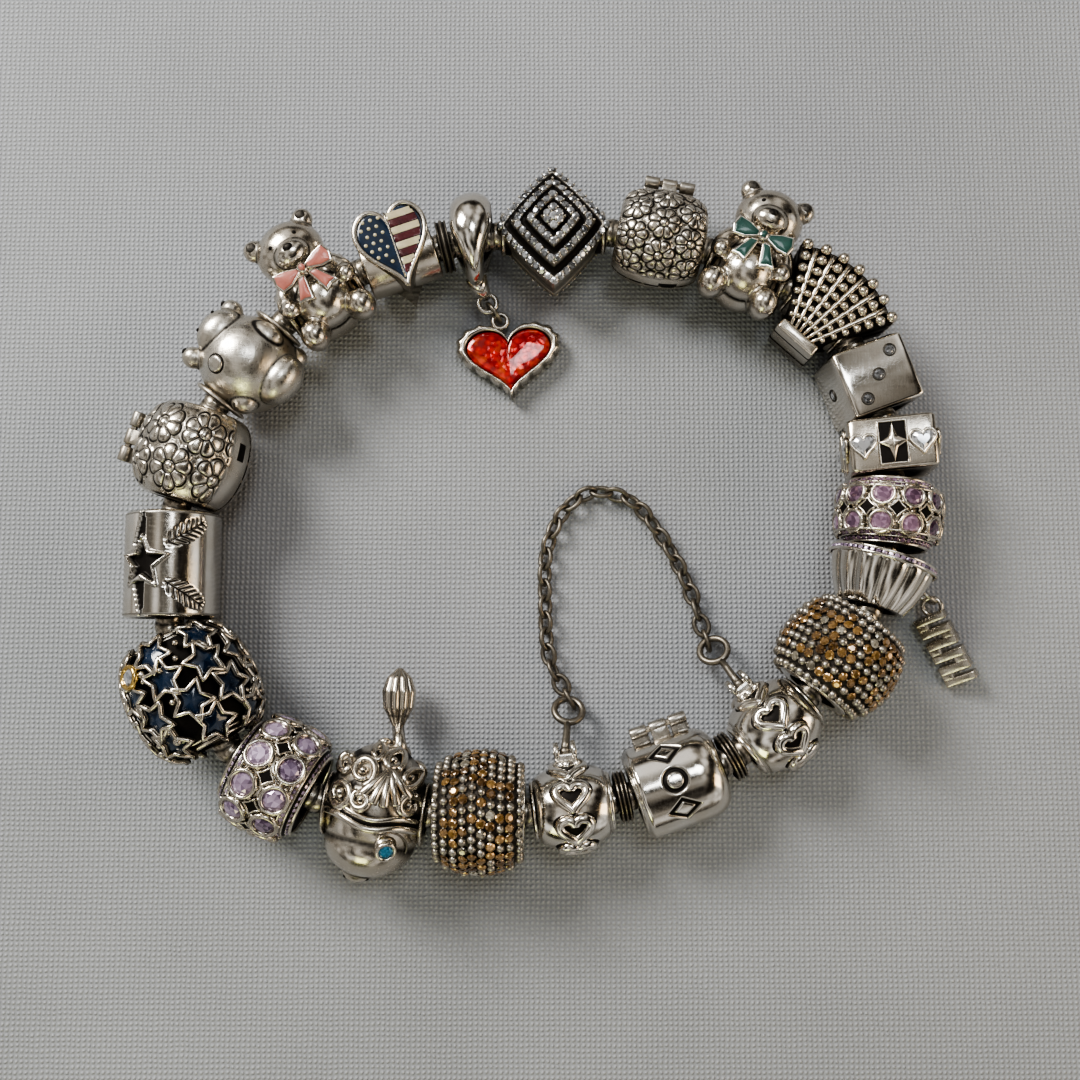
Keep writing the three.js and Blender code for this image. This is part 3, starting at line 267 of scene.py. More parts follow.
def lattice(points, around_u=False, around_v=False):
    """Quads between the neighbours of a grid of points, closed round in either direction."""
    n, m = points.shape[:2]
    index = np.arange(n * m).reshape(n, m)
    if around_u:
        index = np.vstack([index, index[:1]])
    if around_v:
        index = np.hstack([index, index[:, :1]])
    quads = np.stack([index[:-1, :-1], index[1:, :-1], index[1:, 1:], index[:-1, 1:]], -1)
    return points.reshape(-1, 3), quads.reshape(-1, 4)


def domed(rows):
    """A closed skin from rings of points, as triangles: two to each quad between the rings, and a
    fan over each end."""
    n, m = rows.shape[:2]
    points, quads = lattice(rows, around_v=True)
    ring = np.arange(m)
    after, last = (ring + 1) % m, (n - 1) * m
    triangles = np.vstack([
        quads[:, [0, 1, 2]],
        quads[:, [0, 2, 3]],
        np.stack([np.full(m, n * m), ring, after], -1),
        np.stack([np.full(m, n * m + 1), last + after, last + ring], -1),
    ])
    return np.vstack([points, rows[0].mean(0), rows[-1].mean(0)]), triangles


def add_domed(shape, rows, mark=0.0, **how):
    """Puts a domed skin into a shape. Its two end points take the first and the last mark."""
    points, triangles = domed(rows)
    if np.size(mark) > 1:
        mark = np.ravel(mark)
        mark = np.concatenate([mark, mark[:1], mark[-1:]])
    shape.add(points, triangles, mark=mark, **how)


def even_turn(count):
    """Even angles once round."""
    return np.linspace(0, 2 * np.pi, count, endpoint=False)


def circle(radius, count):
    """Points round a flat circle."""
    turn = even_turn(count)
    return np.stack([radius * np.cos(turn), radius * np.sin(turn)], -1)


def globe(sides=24, rings=14):
    """Rings of a unit ball along Z, which stop at a small angle from each pole."""
    pole = 0.06
    high = np.linspace(pole, np.pi - pole, rings)[:, None]
    round_ = even_turn(sides)[None]
    return np.stack([
        np.sin(high) * np.cos(round_), np.sin(high) * np.sin(round_), np.cos(high) + 0 * round_,
    ], -1)


def add_ball(shape, at, size, sides=24, rings=14, **how):
    """A ball centred on at, stretched by size along the three axes."""
    add_domed(shape, globe(sides, rings) * size + np.array(at), **how)


def ring_bead(x, outer, inner, sides, rise=None, start=0.0, end=2 * np.pi):
    """A bead about X: outer radii over stations x, closed by a bore. rise(x, turn) is added to
    the outer radius. Part of a turn gives a shell whose cut ends are left to be capped."""
    whole = abs(end - start - 2 * np.pi) < 1e-6
    turn = np.linspace(start, end, sides, endpoint=not whole)
    radii = np.broadcast_to(outer[:, None], (len(x), sides)).copy()
    if rise is not None:
        radii += rise(*np.meshgrid(x, turn, indexing="ij"))
    inner_x, inner_r = np.array(inner, float).T
    stations = np.concatenate([x, inner_x])
    radii = np.vstack([radii, np.broadcast_to(inner_r[:, None], (len(inner_r), sides))])
    grid = np.stack([
        np.broadcast_to(stations[:, None], radii.shape), radii * np.cos(turn), radii * np.sin(turn),
    ], -1)
    return grid, turn, whole


def add_bead(shape, x, outer, inner, sides=96, rise=None, shade=None, start=0.0, end=2 * np.pi, **how):
    """Puts a bead into a shape; shade(x, turn) gives the mark of its outer side, and the bore is painted
    dark as shade. A half shell is closed along its two cuts."""
    grid, turn, whole = ring_bead(x, outer, inner, sides, rise, start, end)
    mark = np.zeros(grid.shape[:2])
    mark[len(x):] = BORE_SHADE
    if shade is not None:
        mark[:len(x)] = shade(*np.meshgrid(x, turn, indexing="ij"))
    if whole:
        shape.add(*lattice(grid, around_u=True, around_v=True), mark=mark, **how)
        return
    points, quads = lattice(grid, around_u=True)
    index = np.arange(len(points)).reshape(-1, sides)
    n = len(x)
    pair = np.linspace(0, len(index) - n - 1, n).round().astype(int)
    caps = []
    for column, way in ((index[:, 0], 1), (index[:, -1], -1)):
        outer_side, inner_side = column[:n], column[n:][::-1][pair]
        quad = np.stack([outer_side[:-1], inner_side[:-1], inner_side[1:], outer_side[1:]], -1)
        caps.append(quad[:, ::way])
    shape.add(points, np.vstack([quads, *caps]), mark=mark, **how)


def belly(width, radius, flange, count):
    """Stations and radii of a bead whose section is half an ellipse standing on two flat ends."""
    turn = np.linspace(0, np.pi, count)
    return -width / 2 * np.cos(turn), flange + (radius - flange) * np.sin(turn) ** BELLY_POWER


def add_tube(shape, path, radius, sides=10, closed=False, **how):
    """A round wire along a path. Its rings are laid out from the plane that fits the path best, so
    that they do not twist."""
    path = np.asarray(path, float)
    if closed:
        ahead = np.roll(path, -1, 0) - np.roll(path, 1, 0)
    else:
        ahead = np.gradient(path, axis=0)
    ahead /= np.linalg.norm(ahead, axis=1, keepdims=True) + 1e-12
    normal = np.linalg.svd(path - path.mean(0), full_matrices=False)[2][-1]
    side = np.cross(np.broadcast_to(normal, ahead.shape), ahead)
    side /= np.linalg.norm(side, axis=1, keepdims=True) + 1e-12
    up = np.cross(ahead, side)
    turn = even_turn(sides)
    radius = np.broadcast_to(radius, len(path))[:, None, None]
    rows = path[:, None] + radius * (
        side[:, None] * np.cos(turn)[None, :, None] + up[:, None] * np.sin(turn)[None, :, None]
    )
    if closed:
        shape.add(*lattice(rows, around_u=True, around_v=True), **how)
    else:
        add_domed(shape, rows, **how)


def softened(half, edge):
    """Six stations from one end to the other of a piece with rounded rims, and how far its sides
    are drawn in at each."""
    off = np.array([0, edge * 0.3, edge])
    drawn_in = np.array([edge, edge * 0.3, 0, 0, edge * 0.3, edge])
    return np.concatenate([off - half, half - off[::-1]]), drawn_in


def add_rod(shape, radius, length, at=(0, 0, 0), axis="X", edge=0.08, sides=32, **how):
    """A round rod with rounded rims, centred on at."""
    along, drawn_in = softened(length / 2, edge)
    radii = radius - drawn_in
    turn = even_turn(sides)[None]
    one, two = radii[:, None] * np.cos(turn), radii[:, None] * np.sin(turn)
    along = along[:, None] + 0 * turn
    order = {"X": (along, one, two), "Y": (two, along, one), "Z": (one, two, along)}[axis]
    add_domed(shape, np.stack(order, -1) + np.array(at), **how)


def add_box(shape, size, at=(0, 0, 0), edge=0.15, **how):
    """A block with softened edges: a rounded square, stretched to the sides, carried along Z."""
    size = np.array(size, float) / 2
    round_ = circle(1.0, 64)
    flat = np.sign(round_) * np.abs(round_) ** 0.16
    high, drawn_in = softened(size[2], edge)
    rows = np.concatenate([
        flat[None] * (size[:2] - drawn_in[:, None])[:, None, :],
        np.broadcast_to(high[:, None, None], (len(high), len(flat), 1)),
    ], -1)
    add_domed(shape, rows + np.array(at), **how)


def add_plate(shape, outline, low, high, edge=0.1, crown=0.0, **how):
    """A flat-bottomed plate inside an outline, its top edge rounded over and its middle raised by
    crown. Each step is the outline's share and the height there."""
    outline = np.asarray(outline, float)
    middle = outline.mean(0)
    steps = [(1.0, low), (1.0, high - edge), (1 - 0.3 * edge, high - edge * 0.3), (1 - edge, high)]
    steps = [(0.05, low), *steps, *((s, high + crown * (1 - s**2)) for s in (0.75, 0.5, 0.25, 0.05))]
    rows = np.stack([
        np.column_stack([middle + (outline - middle) * s, np.full(len(outline), z)]) for s, z in steps
    ])
    add_domed(shape, rows, **how)


def heart_outline(width, length, count=72):
    """A heart whose tip points to -Y: X goes as a sine cubed and Y as a sum of four cosines."""
    t = 2 * np.pi * (np.arange(count) + 0.5) / count
    along = (13 * np.cos(t) - 5 * np.cos(2 * t) - 2 * np.cos(3 * t) - np.cos(4 * t)) / 15
    return np.stack([width / 2 * np.sin(t) ** 3, along * length / 2 + length * 0.08], -1)


def filled(corners, fill):
    """A closed outline's corners with more points on the sides between them."""
    share = (np.arange(fill) / fill)[None, :, None]
    return (corners[:, None] * (1 - share) + np.roll(corners, -1, 0)[:, None] * share).reshape(-1, 2)


def star_outline(radius, inner=0.5, tips=5, fill=6):
    """A star whose inner corners lie at a share of its radius."""
    t = np.pi * np.arange(2 * tips) / tips
    r = np.where(np.arange(2 * tips) % 2, radius * inner, radius)
    return filled(np.stack([r * np.cos(t), r * np.sin(t)], -1), fill)


def smooth_step(low, high, value):
    """Nought below low and one above high, with an even bend between them."""
    t = np.clip((value - low) / (high - low), 0, 1)
    return t * t * (3 - 2 * t)


# Cut stones
def brilliant(sides=8):
    """A round cut stone of radius 1 as loose facets: a table, stars, kites, girdle facets and a
    pavilion that comes to a point."""
    k = np.arange(sides)
    turn = 2 * np.pi / sides

    def ring(radius, angle, z):
        return np.stack([radius * np.cos(angle), radius * np.sin(angle), np.full(len(angle), z)], -1)

    def fan(a, b, c):
        return np.stack(np.broadcast_arrays(a, b, c), 1)

    table = ring(0.56, k * turn, 0.34)
    crown = ring(0.8, (k + 0.5) * turn, 0.2)
    girdle = ring(1.0, np.arange(2 * sides) * turn / 2, 0.0)
    top, tip = np.array([[0, 0, 0.34]]), np.array([[0, 0, -0.7]])
    nxt, prv = (k + 1) % sides, (k - 1) % sides
    odd = np.roll(girdle, -1, 0)
    return np.vstack([
        fan(top, table[k], table[nxt]),
        fan(table[k], crown[k], table[nxt]),
        fan(table[k], girdle[2 * k], crown[k]),
        fan(table[k], crown[prv], girdle[2 * k]),
        fan(crown[k], girdle[2 * k], girdle[2 * k + 1]),
        fan(crown[k], girdle[2 * k + 1], girdle[2 * nxt]),
        fan(tip, odd, girdle),
    ])


def frames(position, normal, spin=0.0):
    """Placements whose Z is the normal and whose X leans along the bracelet's chain."""
    position, normal = np.asarray(position, float), np.asarray(normal, float)
    normal = normal / np.linalg.norm(normal, axis=1, keepdims=True)
    guide = np.where(np.abs(normal[:, :1]) < 0.9, [[1.0, 0, 0]], [[0, 1.0, 0]])
    along = guide - normal * (guide * normal).sum(1, keepdims=True)
    along /= np.linalg.norm(along, axis=1, keepdims=True)
    across = np.cross(normal, along)
    spin = np.broadcast_to(spin, len(position))[:, None]
    turned_x = along * np.cos(spin) + across * np.sin(spin)
    turned_y = np.cross(normal, turned_x)
    return np.stack([turned_x, turned_y, normal, position], -1)


def stamped(points, places, size):
    """Copies of a template at many placements, each with its own size."""
    size = np.broadcast_to(size, len(places))[:, None, None]
    return np.einsum("nij,kj->nki", places[:, :, :3], points) * size + places[:, None, :, 3]


def add_stones(shape, places, size, slot, rng, sides=8, low=0.0, high=1.0):
    """Faceted stones at many placements. A facet's mark, the painted brightness that stands in for the
    light it reflects, is six tenths its stone's tone, between low and high, and four tenths its own."""
    facets = brilliant(sides)
    points = stamped(facets.reshape(-1, 3), places, size).reshape(-1, 3)
    # Painted sparkle: a brightness for each stone and for each facet, in place of the light they reflect.
    tone = rng.uniform(low, high, (len(places), 1))
    mark = np.clip(tone * 0.6 + 0.4 * rng.random((len(places), len(facets))), 0, 1)
    faces = np.arange(len(points)).reshape(-1, 3)
    shape.add(points, faces, slot=slot, mark=np.repeat(mark.ravel(), 3), smooth=False)


def add_copies(shape, points, faces, places, size, slot, mark):
    """Copies of a template's surface at many placements."""
    offset = (np.arange(len(places)) * len(points))[:, None, None]
    faces = (faces[None] + offset).reshape(-1, faces.shape[1])
    shape.add(stamped(points, places, size).reshape(-1, 3), faces, slot=slot, mark=mark)


def add_balls(shape, places, size, slot=0, sides=8, rings=5, mark=0.0):
    """Many small balls, as the prongs between stones or the beads of a milled edge."""
    add_copies(shape, *domed(globe(sides, rings)), places, size, slot, mark)


def add_rims(shape, places, size, wire, slot=0, sides=20, mark=0.0):
    """Many small bezels: rings that stand round stones of the given size."""
    turn = even_turn(sides)[:, None]
    section = even_turn(6)[None]
    r = 1 + wire * np.cos(section)
    ring = np.stack([r * np.cos(turn), r * np.sin(turn), wire * 1.6 * np.sin(section) + 0 * turn], -1)
    add_copies(shape, *lattice(ring, around_u=True, around_v=True), places, size, slot, mark)


def on_belly(x, turn, width, radius, flange, lift=0.0):
    """Positions and normals on a belly at stations x and turns about the bore."""
    x, turn = np.broadcast_arrays(np.asarray(x, float), np.asarray(turn, float))
    share = np.clip(2 * x / width, -0.999, 0.999)
    high = np.sqrt(1 - share**2)
    r = flange + (radius - flange) * high**BELLY_POWER + lift
    slope = -(radius - flange) * share / high * 2 / width
    position = np.stack([x, r * np.cos(turn), r * np.sin(turn)], -1).reshape(-1, 3)
    normal = np.stack([-slope, np.cos(turn), np.sin(turn)], -1).reshape(-1, 3)
    return position, normal


# Finishes
def plug(tree, socket, value):
    """Links a signal to a socket, or writes a plain value into it."""
    if isinstance(value, Signal):
        tree.links.new(value.socket, socket)
    else:
        socket.default_value = value


class Signal:
    """A shader value that can be written into sums, products and powers."""

    def __init__(self, tree, socket):
        self.tree, self.socket = tree, socket

    def _math(self, operation, first, second, clamp=False):
        """One maths node over two values."""
        node = self.tree.nodes.new("ShaderNodeMath")
        node.operation = operation
        node.use_clamp = clamp
        for socket, value in zip(node.inputs, (first, second)):
            plug(self.tree, socket, value)
        return Signal(self.tree, node.outputs[0])

    def __add__(self, other):
        return self._math("ADD", self, other)

    def __sub__(self, other):
        return self._math("SUBTRACT", self, other)

    def __rsub__(self, other):
        return self._math("SUBTRACT", other, self)

    def __mul__(self, other):
        return self._math("MULTIPLY", self, other)

    def __pow__(self, other):
        return self._math("POWER", self, other)

    def clamped(self):
        """The value held between nought and one."""
        return self._math("ADD", self, 0.0, clamp=True)


class Finish:
    """A material whose nodes are made by one method and whose maths is written as expressions."""

    def __init__(self, name):
        self.material = bpy.data.materials.new(name)
        self.material.use_nodes = True
        self.tree = self.material.node_tree
        self.shader = self.tree.nodes["Principled BSDF"]
        self.place = self.node("ShaderNodeTexCoord", {}, {}, "Object")

    def node(self, kind, settings, values, output=0):
        """Makes a node, sets its properties and its inputs, and returns one of its outputs."""
        node = self.tree.nodes.new(kind)
        for key, value in settings.items():
            setattr(node, key, value)
        for key, value in values.items():
            plug(self.tree, node.inputs[key], value)
        return Signal(self.tree, node.outputs[output])

    def set(self, **values):
        """Sets the shader's inputs, whose names are written with underscores for spaces."""
        for key, value in values.items():
            plug(self.tree, self.shader.inputs[key.replace("_", " ")], value)

    def mark(self):
        """The number that every point of a shape carries."""
        return self.node("ShaderNodeAttribute", {"attribute_name": "mark"}, {}, "Fac")

    def noise(self, per_mm, detail=3.0, roughness=0.55, stretch=None):
        """A noise with so many patches to the millimetre, stretched along the axes if asked."""
        place = self.place
        if stretch is not None:
            place = self.node("ShaderNodeMapping", {}, {"Vector": place, "Scale": stretch})
        return self.node(
            "ShaderNodeTexNoise", {},
            {"Vector": place, "Scale": per_mm / MM, "Detail": detail, "Roughness": roughness},
            "Fac",
        )

    def mixed(self, factor, one, other):
        """One colour turning into another: the mix node's colours are its inputs 6 and 7."""
        return self.node("ShaderNodeMix", {"data_type": "RGBA"}, {0: factor, 6: one, 7: other}, 2)

    def bumped(self, height, strength, depth_mm):
        """The normal of a surface with that height."""
        return self.node(
            "ShaderNodeBump", {}, {"Height": height, "Strength": strength, "Distance": depth_mm * MM},
            "Normal",
        )


def colour(*rgb):
    """A colour that hides what is behind it."""
    return (*rgb, 1.0)


def silver_finish(name, tone, oxide, roughness, haze=0.12, wear=0.3, grain=0.25):
    """Silver that is blackened in its recesses: the mark and a noise turn tone into oxide."""
    finish = Finish(name)
    broad = finish.noise(0.35, 2.0)
    fine = finish.noise(3.0, 4.0)
    black = (finish.mark() * 1.45 - 0.1 + (fine - 0.5) * wear).clamped()
    film = (broad * 1.9 - 0.7).clamped() * 0.6
    bright = finish.mixed(film, tone, colour(tone[0] * 0.72, tone[1] * 0.62, tone[2] * 0.5))
    scratch = finish.noise(5.0, 3.0, 0.7, (1.0, 0.22, 1.0))
    cross = finish.noise(4.0, 3.0, 0.7, (0.2, 1.0, 1.0))
    finish.set(
        Metallic=1.0 - black * 0.25,
        Base_Color=finish.mixed(black, bright, oxide),
        Roughness=(
            black * 0.34 + (scratch + cross - 1.0) * 0.22 + (broad - 0.5) * haze + roughness
        ).clamped(),
        Normal=finish.bumped(scratch + cross + fine * 0.7, grain, 0.02),
    )
    return finish.material


def gem_finish(name, deep, light, roughness=0.06, metallic=0.35):
    """Cut stone: each facet's painted brightness, which stands in for the light it reflects, runs from the
    deep colour to the light one.
    """
    finish = Finish(name)
    painted_sparkle = (finish.mark() ** 1.3).clamped()
    finish.set(
        Base_Color=finish.mixed(painted_sparkle, colour(*deep), colour(*light)),
        Roughness=roughness,
        Metallic=metallic,
        Coat_Weight=1.0,
        Coat_Roughness=0.03,
        IOR=1.8,
    )
    return finish.material


def enamel_finish(name, tone, dark, roughness=0.18, coat=0.8, per_mm=0.9, depth=0.02):
    """Fired enamel: glossy, a little uneven, with darker patches."""
    finish = Finish(name)
    cloud = finish.noise(per_mm, 4.0, 0.6)
    finish.set(
        Base_Color=finish.mixed((cloud * 1.8 - 0.45).clamped(), dark, tone),
        Roughness=(finish.noise(2.5, 3.0) * 0.2 + roughness - 0.1).clamped(),
        Coat_Weight=coat,
        Coat_Roughness=0.06,
        Normal=finish.bumped(finish.noise(0.8, 2.0), 0.3, depth),
    )
    return finish.material


def foil_finish(name, tone, dark, painted_flare):
    """Red glass over crumpled foil: the glass is its own red, while the cells' brightness and the bright
    patches are painted reflections of foil at different slants.
    """
    finish = Finish(name)
    cells = finish.node(
        "ShaderNodeTexVoronoi", {"feature": "F1"},
        {"Vector": finish.place, "Scale": 1.6 / MM, "Randomness": 1.0}, "Distance",
    )
    cloud = finish.noise(0.7, 3.0)
    # Painted reflection: each foil cell is lighter or darker by its distance field, and noise patches turn
    # it to the bright flare colour.
    depth = finish.mixed((cells * 1.5).clamped(), tone, dark)
    finish.set(
        Base_Color=finish.mixed((cloud * 2.4 - 1.15).clamped(), depth, painted_flare),
        Roughness=0.16,
        Metallic=0.25,
        Coat_Weight=1.0,
        Coat_Roughness=0.04,
        Normal=finish.bumped(cells + cloud, 0.5, 0.1),
    )
    return finish.material


SILVER_TONE = colour(0.72, 0.69, 0.635)
OXIDE = colour(0.018, 0.015, 0.013)
FINISHES = {
    "polished": silver_finish("polished_silver", SILVER_TONE, OXIDE, 0.14, grain=0.1),
    "cast": silver_finish("cast_silver", colour(0.62, 0.58, 0.515), OXIDE, 0.22, wear=0.5),
    "satin": silver_finish("satin_silver", colour(0.62, 0.59, 0.535), OXIDE, 0.3, wear=0.5, grain=0.6),
    "worn": silver_finish("worn_silver", colour(0.4, 0.365, 0.31), OXIDE, 0.26, wear=0.7, grain=0.4),
    "black": silver_finish("blackened_silver", colour(0.16, 0.145, 0.13), OXIDE, 0.34, wear=0.8, grain=0.5),
    "gold": silver_finish("gold", colour(0.7, 0.5, 0.2), colour(0.1, 0.06, 0.02), 0.2, grain=0.1),
    # Each stone's deep and light colours are the two ends of its painted sparkle.
    "champagne": gem_finish("champagne_stone", (0.05, 0.02, 0.006), (0.52, 0.31, 0.11), 0.08, 0.5),
    "pale": gem_finish("pale_stone", (0.1, 0.085, 0.06), (0.72, 0.66, 0.54), 0.08, 0.6),
    "clear": gem_finish("clear_stone", (0.035, 0.037, 0.042), (0.72, 0.73, 0.76), 0.05, 0.5),
    "lilac": gem_finish("lilac_stone", (0.07, 0.035, 0.09), (0.8, 0.64, 0.84), 0.05, 0.4),
    "plum": gem_finish("plum_stone", (0.05, 0.02, 0.05), (0.56, 0.36, 0.5), 0.05, 0.4),
    "blue": gem_finish("blue_stone", (0.0, 0.04, 0.1), (0.06, 0.38, 0.62)),
    "navy": enamel_finish("navy_enamel", colour(0.008, 0.03, 0.075), colour(0.002, 0.008, 0.02)),
    "red": foil_finish(
        "red_enamel", colour(0.72, 0.02, 0.006), colour(0.26, 0.004, 0.003), colour(0.95, 0.16, 0.03)),
    "pink": enamel_finish("pink_enamel", colour(0.6, 0.24, 0.19), colour(0.36, 0.12, 0.1), 0.3, 0.4),
    "green": enamel_finish(
        "green_enamel", colour(0.035, 0.11, 0.09), colour(0.012, 0.045, 0.038), 0.3, 0.4),
    "cream": enamel_finish("cream_enamel", colour(0.58, 0.52, 0.36), colour(0.4, 0.35, 0.22), 0.25),
    "maroon": enamel_finish("maroon_enamel", colour(0.1, 0.008, 0.014), colour(0.04, 0.004, 0.006), 0.25),
}


def finishes(*names):
    """The materials that have these names."""
    return [FINISHES[name] for name in names]


# Beads
def wrapped(angle):
    """The same angle between minus half a turn and half a turn."""
    return (angle + np.pi) % (2 * np.pi) - np.pi


def add_end_rings(shape, width, outer=2.75, inner=1.62, thick=0.55):
    """The grommets at both ends of a cast charm, through which the chain runs."""
    for side in (-1, 1):
        turn = even_turn(14)
        x = side * (width / 2 - thick / 2) + thick / 2 * np.cos(turn)
        r = (outer + inner) / 2 + (outer - inner) / 2 * np.sin(turn)
        round_ = even_turn(48)[None]
        grid = np.stack([
            x[:, None] + 0 * round_, r[:, None] * np.cos(round_), r[:, None] * np.sin(round_),
        ], -1)
        # The ring's inner side is painted dark as shade in the bore.
        dark = np.where(r[:, None] < inner + 0.25, BORE_SHADE, 0.12) + 0 * round_
        shape.add(*lattice(grid, around_u=True, around_v=True), mark=dark)


def belly_radius(x, width, radius, flange):
    """Radius of an elliptical belly at stations x."""
    share = np.clip(2 * x / width, -0.999, 0.999)
    return flange + (radius - flange) * (1 - share**2) ** (BELLY_POWER / 2)


def inset(shape, part, place, **how):
    """Puts the surfaces of one shape into another, at a placement of three axes and a position."""
    turn = np.vstack([place, [0, 0, 0, 1]])
    shape.add(np.vstack(part.points), np.vstack(part.faces), at=turn, **how)


def ring_path(x, radius, count=64):
    """A circle about the bore at a station."""
    return np.column_stack([np.full(count, x), circle(radius, count)])


def add_band(shape, x, radius, wire, sides=8, count=64):
    """A wire ring about the bore at a station."""
    add_tube(shape, ring_path(x, radius, count), wire, sides, closed=True)


def wrap_on(centre, normal, up, outline, radius_at, lift=0.0):
    """Lays a flat outline onto a ball-like bead: points are taken out along the normal's tangent
    plane and drawn in to the bead's radius at their station."""
    normal = normal / np.linalg.norm(normal)
    up = up - normal * (up @ normal)
    up = up / np.linalg.norm(up)
    side = np.cross(up, normal)
    flat = centre + outline[:, :1] * side + outline[:, 1:] * up
    off = np.hypot(flat[:, 1], flat[:, 2])
    want = radius_at(flat[:, 0]) + lift
    flat[:, 1:] *= (want / off)[:, None]
    return flat


def add_heart_clip(shape):
    """A smooth polished ball with a turned lip at each end and a belt of hearts, each a thick raised
    outline round a dark sunk middle and ringed at its foot by a thin dark line of painted shade, with their
    tips out of the loop."""
    width, radius, flange, hearts = 7.7, 4.0, 1.9, 8
    x, r = belly(width, radius, flange, 46)

    def rim(x, turn):
        return 0.8 * np.exp(-((np.abs(x) - 0.43 * width) / 0.07) ** 2)

    def skin(x):
        return belly_radius(x, width, radius, flange)

    add_bead(shape, x, r, [(width / 2 - 0.05, 1.7), (-width / 2 + 0.05, 1.7)], 84, None, rim)
    for side in (-1, 1):
        add_band(shape, side * width * 0.47, 2.55, 0.26, 10)
    outline = heart_outline(2.9, 2.6, 44)
    for k in range(hearts):
        angle = 2 * np.pi * (k + 0.42) / hearts
        out = np.array([0.0, math.cos(angle), math.sin(angle)])
        up = np.array([0.0, -math.sin(angle), math.cos(angle)])
        # The first ring is the raised outline; the second is thin, sunk and dark, painted shade round the
        # outline's foot.
        for size, lift, wire, sides, mark in ((1, 0.08, 0.5, 12, 0.0), (1.34, -0.04, 0.13, 6, 0.9)):
            path = wrap_on(out * radius, out, up, outline * size, skin, lift)
            add_tube(shape, path, wire, sides, closed=True, mark=mark)
        well = np.stack([
            wrap_on(out * radius, out, up, outline * share, skin, lift)
            for share, lift in ((0.05, -0.3), (0.85, -0.3), (0.85, 0.03), (0.5, 0.04), (0.05, 0.05))
        ])
        add_domed(shape, well, mark=0.8)
    socket = -5.2
    for side in (-1, 1):
        add_rod(shape, 1.0, 0.5, (side * 0.84, socket, 0), "X", 0.12, 28, mark=0.2)
    add_box(shape, (2.0, 0.9, 1.5), (0, socket + 0.55, 0), 0.12, mark=0.2)
    add_rod(shape, 0.22, 2.3, (0, socket, 0), "X", 0.04, 12)


def add_eye(shape):
    """The eye that the safety chain hangs from: a round ring on a short shank."""
    radius, stem, wire = 1.4, 3.4, 0.34
    path = np.column_stack([circle(radius, 56) + [0, -stem - radius], np.zeros(56)])
    add_tube(shape, path, wire, 12, closed=True, mark=0.3)
    shank = [(0, 0.1, 0), (0.01, -1, 0), (-0.01, -2.2, 0), (0, -stem + 0.1, 0)]
    add_tube(shape, shank, [0.44, 0.4, 0.36, 0.34], 12, mark=0.3)
    add_ball(shape, (0, 0, 0), (0.56, 0.5, 0.5), 16, 10, mark=0.3)


def add_pave(shape, rng):
    """A dark ball covered in close rows of small round stones and silver domes of one size, more
    domes towards the ends, with fine grains in the gaps and a thin polished disc at each end."""
    width, radius, flange, rows, pitch = 8.7, 5.8, 3.2, 10, 0.98
    x, r = belly(width, radius - 0.3, flange - 0.1, 48)

    def shade(x, turn):
        return 0.55 + 0 * x

    inside = [(width / 2 - 0.1, BORE), (-width / 2 + 0.1, BORE)]
    add_bead(shape, x * 0.97, r, inside, 96, None, shade, slot=1)
    for side in (-1, 1):
        edge = circle(1.0, 12)
        rim_x = side * (width / 2 - 0.2) + 0.2 * edge[:, 0]
        disc = np.stack([ring_path(x, r, 72) for x, r in zip(rim_x, 3.1 + 0.62 * edge[:, 1])])
        shape.add(*lattice(disc, around_u=True, around_v=True))
    stations = width * np.linspace(-0.44, 0.44, rows)
    seats, grains = [], []
    for row, x in enumerate(stations):
        count = int(2 * math.pi * belly_radius(x, width, radius, flange) / pitch)
        turn = 2 * np.pi * (np.arange(count) + 0.5 * (row % 2)) / count
        seats.append(np.stack([np.full(count, x), turn], -1))
        grains.append(np.stack([np.full(count, x), turn + np.pi / count], -1))
    seats, grains = np.concatenate(seats), np.concatenate(grains)
    kind = rng.random(len(seats)) + 0.6 * smooth_step(0.3, 0.42, np.abs(seats[:, 0]) / width)
    stones, pale = kind < 0.55, (kind >= 0.55) & (kind < 0.64)
    for slot, chosen, tones in ((2, stones, (0.0, 0.95)), (3, pale, (0.0, 0.8))):
        spot, normal = on_belly(*seats[chosen].T, width, radius, flange, -0.12)
        places = frames(spot, normal + rng.normal(0, 0.1, normal.shape), rng.uniform(0, 1, len(spot)))
        add_stones(shape, places, 0.47, slot, rng, 6, *tones)
    domes = seats[kind >= 0.64]
    for places, lift, sizes, sides, mark in (
        (domes, -0.26, (0.43, 0.48), 8, 0.28), (grains, -0.14, (0.13, 0.2), 5, 0.4),
    ):
        spot, normal = on_belly(*places.T, width, radius, flange, lift)
        sizes = rng.uniform(*sizes, len(spot))
        add_balls(shape, frames(spot, normal), sizes, 4, sides, sides // 2 + 1, mark)


